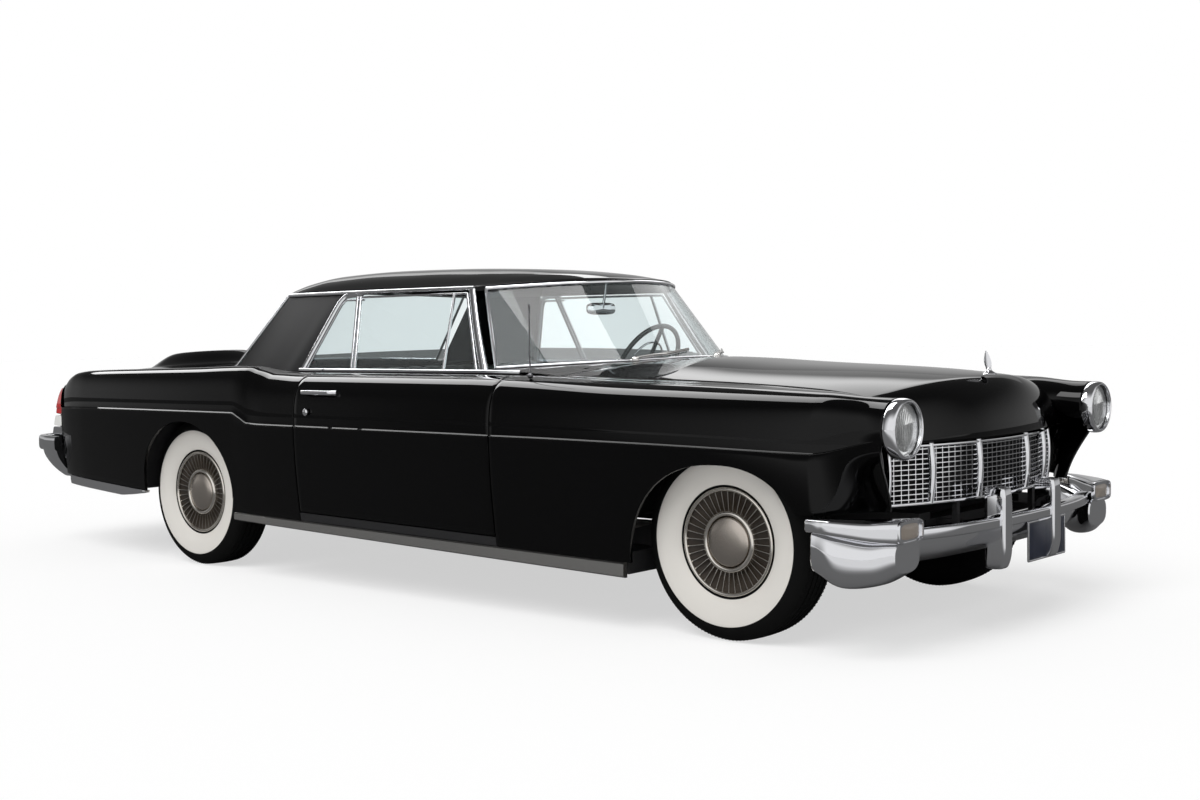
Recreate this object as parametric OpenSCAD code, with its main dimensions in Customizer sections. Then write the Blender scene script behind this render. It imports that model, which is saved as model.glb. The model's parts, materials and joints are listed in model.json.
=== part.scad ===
// Two-door luxury coupe of the 1950s, standing on its tyres with everything shut.
// X points forward, Y to the car's left and Z up; the origin lies on the ground
// under the middle of the car. All sizes are in millimetres.

/* [Overall] */
// Length over both bumpers
overall_length = 5547; // [5300:1:5800]
// Width over the creases in the doors
overall_width = 1968; // [1900:1:2040]
// Height of the roof crown over the ground
overall_height = 1430; // [1400:1:1480]
// Distance between the axles
wheelbase = 3200; // [3150:1:3260]
// Front axle to the face of the front bumper
front_overhang = 793; // [770:1:820]
// Inset of the front tyres' middle planes from the widest place of the body
front_tyre_inset = 241; // [234:1:259]
// Inset of the rear tyres' middle planes from the widest place of the body
rear_tyre_inset = 222; // [214:1:244]

/* [Body] */
// Height of the belt line under the side glass
belt_height = 957; // [940:1:970]
// How far the crease along the body side lies under the belt line
crease_drop = 240; // [222:1:257]
// Height of the body side's lower edge at the rear wheel
sill_height = 300; // [290:1:315]
// How far the lower edge drops towards the front wheel
sill_drop = 34; // [10:1:45]
// Thickness of the single-skinned panels
panel_thickness = 14; // [10:1:18]
// Gap between neighbouring panels
shut_gap = 6; // [5:0.5:8]
// Door's front edge, measured back from the front axle
door_front_setback = 1050; // [1030:1:1070]
// Length of a door
door_length = 1226; // [1180:1:1260]
// Depth of a door at its lower edge
door_depth = 100; // [70:1:120]
// Thickness of all glass
glass_thickness = 6; // [4:0.5:8]
// Sharpness of the shoulder's rounding
shoulder_power = 3; // [2.4:0.1:4]

/* [Wheels] */
// Radius of a tyre, which is also the height of the axles
tyre_radius = 360; // [355:1:368]
// Width of a tyre
tyre_width = 206; // [190:1:212]
// Radius of the rim under the tyre's bead
rim_radius = 196; // [188:1:200]
// Radius of the pale band on the tyre
whitewall_radius = 304; // [280:1:315]
// Number of fins around a wheel cover
fin_count = 40; // [24:1:48]
// Radius of the wheel spindles
spindle_radius = 22; // [18:0.5:26]

/* [Front] */
// Inset of a headlamp from the widest place of the body
lamp_inset = 213; // [194:1:234]
// How far the headlamps lie under the belt line
lamp_drop = 170; // [157:1:182]
// Radius of the rim around a headlamp
lamp_radius = 104; // [95:1:110]
// Inset of the grille's ends from the widest place of the body
grille_inset = 354; // [344:1:394]
// Columns of openings in the grille
grille_columns = 40; // [24:1:48]
// Rows of openings in the grille
grille_rows = 12; // [8:1:14]
// Sideways distance of the bumper guards from the middle
guard_offset = 201; // [180:1:230]

/* [Hidden] */
// Length and width over those for which the offsets below are drawn
stretch = overall_length / 5547;
wide = overall_width / 1968;
half_w = overall_width / 2;
x_nose = overall_length / 2;
x_tail = -overall_length / 2;
front_axle = x_nose - front_overhang * stretch;
rear_axle = front_axle - wheelbase * stretch;
door_front = front_axle - door_front_setback * stretch;
door_rear = door_front - door_length * stretch;

// Places along the car from its main stations, and across it from the middle plane.
function fa(d) = front_axle + d * stretch;
function ra(d) = rear_axle + d * stretch;
function df(d) = door_front + d * stretch;
function dr(d) = door_rear + d * stretch;
function tx(d) = tail_x + d * stretch;
function sy(d) = d * wide;

lamp_x = fa(690);
tail_x = x_tail + 369 * stretch;
front_track = overall_width - 2 * sy(front_tyre_inset);
rear_track = overall_width - 2 * sy(rear_tyre_inset);
crease_height = belt_height - crease_drop;
lamp_y = half_w - sy(lamp_inset);
lamp_z = belt_height - lamp_drop;
guard_y = sy(guard_offset);
low_rows = 3;
up_rows = 5;
in_rows = 2;
grille_half = half_w - sy(grille_inset);
grille_top = belt_height - 242;
grille_low = max(460, belt_height - 452);
grille_r = 1550;
seat = 0.3;
floor_top = 330;
floor_sheet = 12;
rail_w = 80;
rail_h = 110;
rail_z = floor_top - floor_sheet - seat - rail_h / 2;
front_rail_y = sy(390);
front_rail_z = 406;
rear_rail_z = 470;
rail_in = front_rail_y - rail_w / 2;
boot_floor = 488;
hinge_pin = 8;
hinge_play = 0.05;
guard_back = x_nose - 84;
arm_x = fa(682);
kingpin_y = front_track / 2 - 100;
boot_front = ra(-270);
boot_rear = -2662 * stretch;
roof_edge_z = overall_height - 108;
roof_sheet = 20;
side_top_z = overall_height - 131;
hood_hinge_y = sy(606);
boot_hinge_y = sy(500);

// Body side, tail to nose. Widths are insets from half_w, heights are offsets.
TUCK = 1;
CREASE = 2;
CROWN_IN = 3;
CROWN_UP = 4;
GAP_IN = 5;
GAP_UP = 6;
body = [
  // x        tuck crease crown_in crown_up gap_in gap_up
  [tail_x,     96,  33,   190,     -70,     286,   -74],
  [tx(65),     80,  36,   166,     -36,     286,   -40],
  [tx(145),    66,  39,   150,     -16,     286,   -24],
  [tx(285),    50,  41,   140,      -5,     286,   -15],
  [tx(805),    22,  45,   124,       8,     286,    -2],
  [ra(90),      8,  47,   118,      18,     278,     6],
  [ra(460),     2,  48,   112,      27,     232,     8],
  [ra(520),     1,  28,   112,      25,     224,     8],
  [ra(585),     1,   3,   118,      12,     215,     6],
  [ra(690),     0,   0,   150,      -2,     200,     2],
  [dr(-60),     0,   0,   184,      -1,     195,     0],
  [dr(300),     0,   0,   188,       0,     196,     0],
  [df(-200),    2,   0,   190,      -1,     198,     0],
  [door_front,  4,  -1,   196,      -4,     214,    -2],
  [df(170),     6,  -1,   206,      -8,     256,    -6],
  [fa(-480),   10,  -3,   222,     -22,     292,   -18],
  [fa(-80),    20,  -7,   224,     -32,     316,   -30],
  [fa(270),    34, -13,   214,     -43,     328,   -48],
  [fa(520),    56, -17,   208,     -54,     330,   -84],
  [lamp_x,     98, -20,   213,     -66,     330,  -140]];

// Middle line of the hood, boot lid and roof: x, height over the belt or under the crown.
hood_rows = [[df(180), 55], [fa(-600), 49], [fa(-220), 30], [fa(240), 11], [fa(520), -9], [fa(690), -31]];
hood_line = [for (r = hood_rows) [r[0], belt_height + r[1]]];
boot_rows = [[-2660, -257], [-2640, -167], [-2600, -95], [-2540, -45], [-2440, -15], [-2300, 1], [-2000, 17],
  [-1480, 27]];
boot_line = [for (r = boot_rows) [r[0] * stretch, max(700 + 0.1 * (r[0] + 2660), belt_height + r[1])]];
roof_rows = [[-1075, 78], [-1030, 58], [-950, 36], [-750, 10], [-376, 0], [0, 4], [400, 19], [700, 46],
  [920, 82]];
roof_line = [for (r = roof_rows) [r[0] * stretch, overall_height - r[1]]];

function lerp(a, b, t) = a + (b - a) * t;
function clamp01(t) = max(0, min(1, t));
function smooth(a, b, x) = let (t = clamp01((x - a) / (b - a))) t * t * (3 - 2 * t);
function spow(a, p) = sign(a) * pow(abs(a), p);
function steps(a, b, n) = [for (i = [0:n]) lerp(a, b, i / n)];

// Smooth value of one column of a table whose first column rises.
function find_row(t, x, i = 0) =
  (i >= len(t) - 2 || x < t[i + 1][0]) ? i : find_row(t, x, i + 1);
function secant(t, i, c) = (t[i + 1][c] - t[i][c]) / (t[i + 1][0] - t[i][0]);
function slope(t, i, c) =
  i == 0 ? secant(t, 0, c) : i == len(t) - 1 ? secant(t, i - 1, c) :
  let (a = secant(t, i - 1, c), b = secant(t, i, c)) a * b <= 0 ? 0 : 2 * a * b / (a + b);
function at(t, x, c) =
  let (i = find_row(t, x), h = t[i + 1][0] - t[i][0], u = clamp01((x - t[i][0]) / h),
       a = t[i][c], d = t[i + 1][c] - a, da = slope(t, i, c) * h, db = slope(t, i + 1, c) * h)
  a + u * (da + u * (3 * d - 2 * da - db + u * (da + db - 2 * d)));

// Section of the body side at x: widths from the middle plane and heights.
function side_w(x) = half_w - sy(at(body, x, TUCK));
function crease_z(x) = crease_height + at(body, x, CREASE);
function crown_w(x) = half_w - sy(at(body, x, CROWN_IN));
function crown_z(x) = belt_height + at(body, x, CROWN_UP);
function gap_w(x) = half_w - sy(at(body, x, GAP_IN));
function gap_z(x) = belt_height + at(body, x, GAP_UP);
function lower_w(x, z) =
  side_w(x) - sy(5 + 38 * pow(clamp01((crease_z(x) - z) / (crease_z(x) - 260)), 1.7));
function sill_z(x) = sill_height - sill_drop * clamp01((x - ra(430)) / (fa(-410) - ra(430)));
function section(x, low) = concat(
  [for (j = [0:low_rows]) let (z = lerp(low, crease_z(x) - 4, j / low_rows)) [lower_w(x, z), z]],
  [for (j = [0:up_rows]) let (t = 90 * j / up_rows)
    [lerp(crown_w(x), side_w(x), pow(cos(t), 2 / shoulder_power)),
     lerp(crease_z(x), crown_z(x), pow(sin(t), 2 / shoulder_power))]],
  [for (j = [1:in_rows]) let (t = j / in_rows)
    [lerp(crown_w(x), gap_w(x), t), lerp(crown_z(x), gap_z(x), t * t)]]);

// The section closes into a ring around the headlamp towards the nose.
function lamp_angle(j) =
  j <= low_rows ? lerp(-100, -20, j / low_rows) :
  j <= low_rows + 1 + up_rows ? lerp(-20, 90, (j - low_rows - 1) / up_rows + 0.02) :
  lerp(90, 205, (j - low_rows - 1 - up_rows) / in_rows);
function nose_blend(x) = smooth(fa(420), lamp_x - 20, x);
function side_row(x, low) =
  let (k = nose_blend(x), s = section(x, low))
  [for (j = [0:len(s) - 1])
    let (f = j > low_rows ? 1 : pow(j / low_rows, 1.5),
         low_w = lerp(s[j][0], min(s[j][0], sy(700)), k * (1 - f)),
         w = lerp(low_w, lamp_y + lamp_radius * cos(lamp_angle(j)), k * f),
         z = lerp(s[j][1], lamp_z + lamp_radius * sin(lamp_angle(j)), k * f))
    [x - 70 * k * (1 - f), -w, z]];
function side_grid(columns) = [for (c = columns) side_row(c[0], c[1])];

// Wheel arches as columns of x and lower edge.
function front_arch(a) = let (c = spow(cos(a), 2 / 2.3))
  [fa(50 + (c < 0 ? 416 : 385) * c), 200 + (crease_height - 267) * pow(sin(a), 2 / 2.3)];
function rear_arch(a) = [ra(47 + 378 * cos(a)), 390 + (crease_height - 392) * sin(a)];
function tail_low(x) = lerp(356, 392, (ra(-330) - x) / (780 * stretch));

// Closed solid from points and faces, with the faces turned outward.
function tri_volume(p, f) = p[f[0]] * cross(p[f[1]], p[f[2]]);
function sum(v, i = 0, s = 0) = i == len(v) ? s : sum(v, i + 1, s + v[i]);
module solid(p, f) {
  out = sum([for (t = f) tri_volume(p, t)]) > 0;
  polyhedron(p, out ? [for (t = f) [t[2], t[1], t[0]]] : f, convexity = 8);
}

// Solid between two grids of points with the same rows and columns.
module slab(outer, inner) {
  n = len(outer);
  m = len(outer[0]);
  k = n * m;
  p = concat([for (r = outer) each r], [for (r = inner) each r]);
  skin = [for (i = [0:n - 2], j = [0:m - 2]) each
    let (a = i * m + j) [[a, a + m, a + m + 1], [a, a + m + 1, a + 1]]];
  rim = concat([for (j = [0:m - 2]) [j, j + 1]],
    [for (i = [0:n - 2]) [i * m + m - 1, (i + 1) * m + m - 1]],
    [for (j = [m - 2:-1:0]) [(n - 1) * m + j + 1, (n - 1) * m + j]],
    [for (i = [n - 2:-1:0]) [(i + 1) * m, i * m]]);
  solid(p, concat(skin, [for (t = skin) [t[2] + k, t[1] + k, t[0] + k]],
    [for (e = rim) each [[e[0], e[1], e[1] + k], [e[0], e[1] + k, e[0] + k]]]));
}

// Grid moved along its own normals; a positive distance follows the normals.
function grid_normal(g, i, j) =
  let (n = len(g) - 1, m = len(g[0]) - 1,
       c = cross(g[min(i + 1, n)][j] - g[max(i - 1, 0)][j], g[i][min(j + 1, m)] - g[i][max(j - 1, 0)]))
  c / norm(c);
function offset_grid(g, d) =
  [for (i = [0:len(g) - 1]) [for (j = [0:len(g[0]) - 1]) g[i][j] + d * grid_normal(g, i, j)]];
module skin(g, d) { slab(g, offset_grid(g, d)); }

// Solid through a row of rings with equal point counts; the rings are convex.
module loft(rings) {
  n = len(rings);
  m = len(rings[0]);
  p = [for (r = rings) each r];
  solid(p, concat(
    [for (i = [0:n - 2], j = [0:m - 1]) each let (a = i * m, b = (j + 1) % m)
      [[a + j, a + m + j, a + m + b], [a + j, a + m + b, a + b]]],
    [for (j = [1:m - 2]) [0, j, j + 1]],
    [for (j = [1:m - 2]) [(n - 1) * m, (n - 1) * m + j + 1, (n - 1) * m + j]]));
}

// Ring of a profile given as outward and upward offsets, at one point of a plan path.
function path_ring(path, i, profile) =
  let (a = path[max(0, i - 1)], b = path[min(len(path) - 1, i + 1)],
       d = [b[0] - a[0], b[1] - a[1]] / norm([b[0] - a[0], b[1] - a[1]]))
  [for (q = profile) [path[i][0] + d[1] * q[0], path[i][1] - d[0] * q[0], path[i][2] + q[1]]];
module sweep(path, profile) { loft([for (i = [0:len(path) - 1]) path_ring(path, i, profile)]); }
function both_sides(half) =
  concat(half, [for (i = [len(half) - 1:-1:0]) let (p = half[i]) if (abs(p[1]) > 1) [p[0], -p[1], p[2]]]);

// Rounded profile, width by height about its middle.
function oval(w, h, n = 12, p = 3) =
  [for (i = [0:n - 1]) let (a = 360 * i / n) [w / 2 * spow(cos(a), 2 / p), h / 2 * spow(sin(a), 2 / p)]];
// Rounded bar through a row of points.
module rail(points, w, h) {
  loft([for (i = [0:len(points) - 1])
    let (a = points[max(0, i - 1)], b = points[min(len(points) - 1, i + 1)], d = (b - a) / norm(b - a),
         s = cross(d, [0, 0, 1]), u = s / norm(s), v = cross(u, d))
    [for (q = oval(w, h, 8)) points[i] + u * q[0] + v * q[1]]]);
}
// Box-section beam with upright sides through a row of points.
module beam(points, w, h) {
  sweep(points, [[-w / 2, -h / 2], [w / 2, -h / 2], [w / 2, h / 2], [-w / 2, h / 2]]);
}
// Sideways step at a corner of a line through points of x and height.
function unit_left(p, i) = let (d = p[i + 1] - p[i]) [-d[1], d[0]] / norm(d);
function mitre(p, i) =
  let (a = unit_left(p, max(0, i - 1)), b = unit_left(p, min(i, len(p) - 2))) (a + b) / (1 + a * b);
// Hinge arm that dips under a panel's edge; it turns on a pin at the first point.
module hinge_arm(pivot, points, y) {
  half = 12;
  p = [for (q = points) pivot + [q[0] * stretch, q[1]]];
  difference() {
    union() {
      for (i = [0:len(p) - 2]) let (a = half * mitre(p, i), b = half * mitre(p, i + 1))
        across(-y - 12, -y) polygon([p[i] - a, p[i + 1] - b, p[i + 1] + b, p[i] + a]);
      across(-y - 12, -y) translate(pivot) circle(18);
    }
    across(-y - 13, -y + 1) translate(pivot) circle(hinge_pin + hinge_play);
  }
}
// Pin for such an arm, on a bracket that hangs from the panel above.
module hinge_bracket(pivot, y, top) {
  across(-y - 24, -y + 12) translate(pivot) circle(hinge_pin);
  box([pivot[0] - 20, -y - 36, pivot[1] - 20], [pivot[0] + 20, -y - 24, top]);
}
module left() { mirror([0, 1, 0]) children(); }
module pair() { children(); left() children(); }
// Box given by its lower and upper corners.
module box(a, b) { translate(a) cube(b - a); }
// Profile of x and height, spread sideways from y0 to y1.
module across(y0, y1) { translate([0, y1, 0]) rotate([90, 0, 0]) linear_extrude(y1 - y0) children(); }

// Glasshouse curves; v runs from -1 at the right to 1 at the left.
function bow(v) = 1 - pow(abs(v), 2.2);
function screen_base(v) = [df(-210 + 470 * bow(v)), sy(776) * v, belt_height + 46 - 28 * v * v];
function screen_top(v) = [df(-375 + 350 * bow(v)), sy(650) * v, overall_height - 92 - 28 * v * v];
function back_base(v) = [ra(130 - 350 * bow(v)), sy(700) * v, belt_height + 33 - 18 * v * v];
function back_top(v) = [ra(445 - 290 * bow(v)), sy(608) * v, overall_height - 90 - 26 * v * v];
function roof_point(s, v) =
  let (f = screen_top(v), r = back_top(v), c = lerp(screen_top(0)[0] - 12, back_top(0)[0] + 12, s),
       e = roof_edge_z)
  [lerp(f[0] - 12, r[0] + 12, s), lerp(f[1], r[1], s) + sy(36) * sin(180 * s) * v,
   e + (at(roof_line, c, 1) - e) * (1 - pow(abs(v), 3))];
// Middle of the drip moulding along the roof's right edge.
function drip(x) =
  let (a = roof_point(0, -1)[0], b = roof_point(1, -1)[0]) roof_point((a - x) / (a - b), -1) - [0, 6.6, 6];
// Front edge of the rear pillar at a height.
function pillar_x(z) = lerp(dr(-165), dr(-5), (z - belt_height) / (side_top_z - belt_height));
// Side glass plane: width from the middle at a height.
function glass_w(z) = sy(785 - 120 * (z - belt_height) / (side_top_z - belt_height));
// Pane in the side glass plane from its lower and upper ends.
module side_pane(low, high, z0, t, out = 0) {
  g = [for (z = steps(z0, side_top_z, 3)) let (k = (z - z0) / (side_top_z - z0))
    [for (s = [0, 1]) [lerp(low[s], high[s], k), -glass_w(z) - out, z]]];
  slab(g, [for (r = g) [for (q = r) q + [0, t, 0]]]);
}

// Hood surface; u runs from the rear edge to the nose and v across.
function hood_rear(v) = df(175 + 220 * bow(v));
function hood_front(v) = fa(690 - 105 * v * v);
hood_turn = 110 * stretch;
function hood_x(u, v) = u <= 1 ? lerp(hood_rear(v), hood_front(v) - hood_turn, u) :
  hood_front(v) - hood_turn * (1 - sin(90 * (u - 1)));
function hood_point(u, v) =
  let (x = hood_x(u, v), z = lerp(at(hood_line, x, 1), gap_z(min(x, lamp_x)), pow(abs(v), 2.4)))
  [x, (gap_w(min(x, fa(560))) - shut_gap) * v, u <= 1 ? z : lerp(grille_top + 8, z, cos(90 * (u - 1)))];

// Boot lid surface with the raised disc on it.
function boot_x(s, v) = lerp(boot_front, boot_rear + 90 * stretch * v * v, s);
function disc(x, y) = 74 * (1 - smooth(0.8, 1.0, norm([(x - ra(-1085)) / stretch, y / wide]) / 385));
function boot_point(s, v) =
  let (x = boot_x(s, v), xm = boot_x(s, 0), y = (gap_w(max(x, tail_x)) - shut_gap) * v,
       e = gap_z(max(x, tail_x)), m = at(boot_line, xm, 1))
  [x, y, lerp(m, min(m, e), pow(abs(v), 2.6))
    + disc(x, y) * smooth(boot_rear, boot_rear + 182 * stretch, xm)];

/* Which sub-part to draw */

module chassis_frame() color("#2a2b2c") {
  bumper_z = front_rail_z - 1;
  bar_y = sy(300);
  side_y = sy(560);
  tail_y = sy(540);
  tail_z = boot_floor - seat - rail_h / 2;
  pair() {
    beam([[fa(560), -front_rail_y, front_rail_z], [fa(-250), -front_rail_y, front_rail_z],
      [fa(-700), -side_y, rail_z], [ra(625), -side_y, rail_z], [ra(330), -tail_y, 430],
      [ra(120), -tail_y, rear_rail_z], [ra(-300), -tail_y, rear_rail_z], [ra(-700), -tail_y, tail_z],
      [tx(5), -tail_y, tail_z]], rail_w, rail_h);
    box([fa(500), -guard_y - 20, bumper_z - 3], [guard_back - seat, -guard_y + 20, bumper_z + 14]);
    box([fa(500), -bar_y - 10, bumper_z], [arm_x - 36, -bar_y + 10, bumper_z + 30]);
    box([arm_x - 56, -bar_y - 10, bumper_z], [arm_x - 36, -bar_y + 10, grille_low - 2 - seat]);
    box([tx(-236), -tail_y - 20, 470], [tx(65), -tail_y + 20, boot_floor - seat]);
  }
  // x, height, half height and half length of the cross members
  members = [[fa(520), front_rail_z, 30, front_rail_y], [fa(-560), 275, 20, sy(500)],
    [-300 * stretch, rail_z, 40, side_y], [ra(-900), 432, 40, tail_y]];
  for (c = members) box([c[0] - 45, -c[3], c[1] - c[2]], [c[0] + 45, c[3], c[1] + c[2]]);
}

module floor_pan() color("#1b1c1d") {
  t = floor_sheet;
  z = floor_top;
  box([ra(640), seat - sy(720), z - t], [df(54), sy(720) - seat, z]);
  across(-sy(690), sy(690)) polygon([[df(20), z - 10], [df(40), z - 10], [df(190), 520], [df(178), 520]]);
  box([ra(600), -sy(140), z - 8], [df(10), sy(140), 410]);
  // Seat pan, hump over the axle and boot floor
  top = [[650, z - 8], [640, 440], [360, 500], [152, 560], [-420, 560], [-700, 500], [-1175, 500]];
  low = [[668, z - 8], [652, 440 - t], [365, 500 - t], [157, 560 - t], [-424, 560 - t], [-704, 500 - t],
    [-1175, 500 - t]];
  for (i = [0:len(top) - 2]) across(-sy(625), sy(625))
    polygon([for (q = [low[i], low[i + 1], top[i + 1], top[i]]) [ra(q[0]), q[1]]]);
}

module door_frame() color("#101112") {
  inset = panel_thickness + 2;
  sill_y = -sy(720);
  post_y = -sy(900);
  loft([for (x = [ra(440), fa(-385)])
    let (z0 = sill_z(x) - 46, z1 = sill_z(x) + 36, w = lower_w(x, z0) - inset)
    [[x, -w, z0], [x, -w, z1], [x, sill_y, z1], [x, sill_y, z0]]]);
  loft([for (x = [door_rear, door_front])
    let (z0 = sill_z(x) + 1, z1 = sill_z(x) + 36, w0 = lower_w(x, z0), w1 = lower_w(x, z1))
    [[x, -w0, z0], [x, -w1, z1], [x, -w1 + 60, z1], [x, -w0 + 60, z0]]]);
  box([df(20), post_y, 290], [df(120), -sy(760), belt_height - 45]);
  box([dr(-110), post_y, 310], [dr(-20), -sy(770), belt_height - 70]);
  for (z = [430, belt_height - 177])
    box([door_front - shut_gap / 2 + seat, post_y, z], [df(30), -sy(860), z + 70]);
}
module door_frames() { pair() door_frame(); }

// Samples across the windscreen and the rear window, shared by the panels below them.
screen_v = steps(-0.97, 0.97, 18);
hood_pivot = [df(75), belt_height - 27];
boot_pivot = [boot_front + 200 * stretch, belt_height - 32];
// The boot's arms dip less where the belt comes near the floor.
boot_dip = min(1, (boot_pivot[1] - 600) / 325);

// Half width of the cowl, and its edge along the hood's rear edge.
function cowl_w(x) = min(sy(776), (gap_w(x) - 4 * seat) / 0.97);
function cowl_front(v) =
  let (x = hood_rear(v), q = v * cowl_w(x) / (gap_w(x) - shut_gap)) hood_point(0, q) - [shut_gap, 0, 0];

module cowl() color("#141517") {
  g = [for (k = steps(0, 1, 3)) [for (v = screen_v)
    let (a = screen_base(v) + [2 * seat, 0, 0], b = cowl_front(v), x = lerp(a[0], b[0], k))
    [x, v * cowl_w(x), lerp(a[2], b[2], k)]]];
  skin(g, -panel_thickness);
  box([df(178), -sy(598), 520 + seat], [df(190), sy(598), belt_height + 20]);
  pair() {
    box([df(-245), -sy(790), belt_height + 6], [df(-155), -sy(735), belt_height + 18 - seat]);
    hinge_bracket(hood_pivot, hood_hinge_y, belt_height + 14);
  }
}

module front_fender() color("#0b0c0d") {
  nose_low = 495;
  cols = concat(
    [for (x = steps(door_front + shut_gap / 2, fa(-372), 5)) [x, sill_z(x)]],
    [for (a = [176:-11:11]) let (c = front_arch(a), low = c[0] > front_axle ? nose_low : sill_z(c[0]))
      [c[0], max(c[1], low)]],
    [for (x = steps(fa(437), lamp_x - 18, 7)) [x, nose_low]]);
  skin(side_grid(cols), -panel_thickness);
  box([df(120) + seat, sy(13) + panel_thickness - half_w, crease_height - 237],
    [df(150), -sy(860), crease_height - 77]);
}
module front_fender_right() { front_fender(); }
module front_fender_left() { left() front_fender(); }

module rear_quarter() color("#0b0c0d") {
  front = concat([ra(427), ra(460)], steps(ra(490), door_rear - shut_gap / 2, 7));
  cols = concat(
    [for (x = steps(tail_x, ra(-333), 8)) [x, tail_low(x)]],
    [for (a = [180:-12:0]) rear_arch(a)],
    [for (x = front) [x, sill_z(x)]]);
  skin(side_grid(cols), -panel_thickness);
  box([dr(-130), sy(12) + panel_thickness - half_w, crease_height - 297],
    [dr(-110) - seat, -sy(860), crease_height - 77]);
}
module rear_quarter_right() { rear_quarter(); }
module rear_quarter_left() { left() rear_quarter(); }

module tail_panel() color("#0b0c0d") {
  half = [[tail_x - seat, -sy(872), 0], [tx(-12), -sy(872), 0], [tx(-70), -sy(835), 0],
    [tx(-160), -sy(686), 0], [tx(-220), -sy(420), 0], [tx(-250), 0, 0]];
  sweep(both_sides(half), [[0, 500], [14, 500], [14, 598], [0, 598]]);
  top = max(684, belt_height - 273);
  sweep(both_sides([half[3], half[4], half[5]]), [[0, 590], [14, 590], [14, top], [0, top]]);
}

module rear_deck() color("#0b0c0d") {
  g = [for (k = steps(0, 1, 3)) [for (v = screen_v)
    let (a = back_base(v) - [2 * seat, 0, 0], b = boot_point(0, v) + [shut_gap, 0, 0])
    lerp(a, [b[0], a[1], b[2]], k)]];
  skin(g, panel_thickness);
  top = belt_height + 10;
  box([ra(-44), -sy(560), 560 + seat], [ra(-32), sy(560), top]);
  box([ra(-205), -sy(440), top - 14], [ra(-40), sy(440), top - 2]);
  pair() hinge_bracket(boot_pivot, boot_hinge_y, belt_height + 11);
}

roof_s = steps(0, 1, 14);
module roof() color("#0b0c0d")
  skin([for (s = roof_s) [for (v = steps(-1, 1, 18)) roof_point(s, v)]], roof_sheet);

module sail_panels() color("#101113") pair() {
  g = [for (k = steps(0, 1, 5)) [for (t = steps(0, 1, 5))
    let (x0 = lerp(pillar_x(belt_height + 1), ra(146), t), x1 = lerp(pillar_x(side_top_z), ra(458), t))
    lerp([x0, -gap_w(x0) - 1, gap_z(x0) + 3 * seat], drip(x1) - [0, 0, 9 + seat], k)]];
  slab(g, [for (i = [0:5]) [for (q = g[i]) q + [0, lerp(34, 8, i / 5), 0]]]);
}

module windscreen() color("#b9cdc6") {
  g = [for (k = steps(1, 0, 4)) [for (v = screen_v) lerp(screen_base(v), screen_top(v), k)]];
  skin(g, glass_thickness);
}
module rear_window() color("#b9cdc6")
  skin([for (k = steps(0, 1, 4)) [for (v = screen_v) lerp(back_base(v), back_top(v), k)]], glass_thickness);

module quarter_windows() color("#b9cdc6") {
  low = [pillar_x(belt_height + 8) + 1.5 * seat, dr(184)];
  high = [pillar_x(side_top_z) + 1.5 * seat, dr(102)];
  pair() side_pane(low, high, belt_height + 8, glass_thickness);
}

module window_trim() color("#c8cacc") pair() {
  rail([for (s = roof_s) drip(roof_point(s, -1)[0])], 14, 18);
  foot = screen_base(-1) - [8, 0, 0];
  head = drip(roof_point(0, -1)[0] - 6) - [0, 4, 4];
  loft([for (k = [0, 1]) let (c = lerp([foot[0], foot[1], belt_height + 18], head, k))
    [for (q = oval(lerp(38, 30, k), lerp(26, 18, k), 8)) c + [q[0], q[1], 0]]]);
}

// Heavy bars stand at these shares of the grille's width.
grille_bars = [for (s = [0, 0.15, 0.35, 0.65, 0.85, 1]) round(s * grille_columns)];
module grille() color("#c8cacc") {
  r = grille_r;
  lift = 9;
  pitch = (grille_top - grille_low) / grille_rows;
  span = asin(grille_half / r);
  translate([arm_x - r, 0, 0]) {
    for (i = [0:grille_rows]) translate([0, 0, grille_low + i * pitch]) rotate([0, 0, -span])
      rotate_extrude(angle = 2 * span) translate([r - 26, i == grille_rows ? 1 - lift : -2])
        square(i == 0 || i == grille_rows ? [30, lift] : [22, 4]);
    for (i = [0:grille_columns]) let (bar = len(search(i, grille_bars)) > 0)
      rotate([0, 0, lerp(-span, span, i / grille_columns)])
        translate([r - 24, bar ? -5 : -2, grille_low])
          cube([bar ? 30 : 20, bar ? 10 : 4, grille_top - grille_low]);
  }
}

// Rings of a form along X from rows of x, y, height, width and section height.
function oval_rings(rows) =
  [for (s = rows) [for (q = oval(sy(s[3]), s[4])) [s[0], s[1] + q[0], s[2] + q[1]]]];

module front_bumper() color("#c8cacc") {
  half = [[fa(690), -sy(730), 0], [fa(752), -sy(500), 0], [x_nose - 14, -sy(250), 0], [x_nose - 8, 0, 0]];
  sweep(both_sides(half), [for (q = oval(58, 42)) [q[0] - 29, q[1] + 425]]);
  pan = [[fa(690), -sy(640), 0], [fa(728), -sy(470), 0], [x_nose - 46, -sy(250), 0], [x_nose - 40, 0, 0]];
  sweep(both_sides(pan), [[0, 402], [-30, 345], [-110, 306], [-128, 312], [-60, 352], [-34, 402]]);
  pair() {
    across(-guard_y - sy(34), -guard_y + sy(34))
      polygon([[guard_back, 300], [x_nose - 60, 253], [x_nose - 12, 262], [x_nose, 320], [x_nose, 500],
        [x_nose - 14, 535], [x_nose - 44, 549], [guard_back, 530]]);
    loft(oval_rings([[fa(440), -sy(958), 468, 40, 44], [fa(540), -sy(925), 462, 90, 56],
      [fa(640), -sy(850), 452, 150, 72], [fa(712), -sy(770), 447, 165, 84]]));
    loft(oval_rings([[fa(450), -sy(930), 380, 60, 146], [fa(540), -sy(890), 350, 140, 184],
      [fa(640), -sy(820), 346, 190, 160], [fa(700), -sy(765), 362, 170, 120]]));
  }
}

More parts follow.
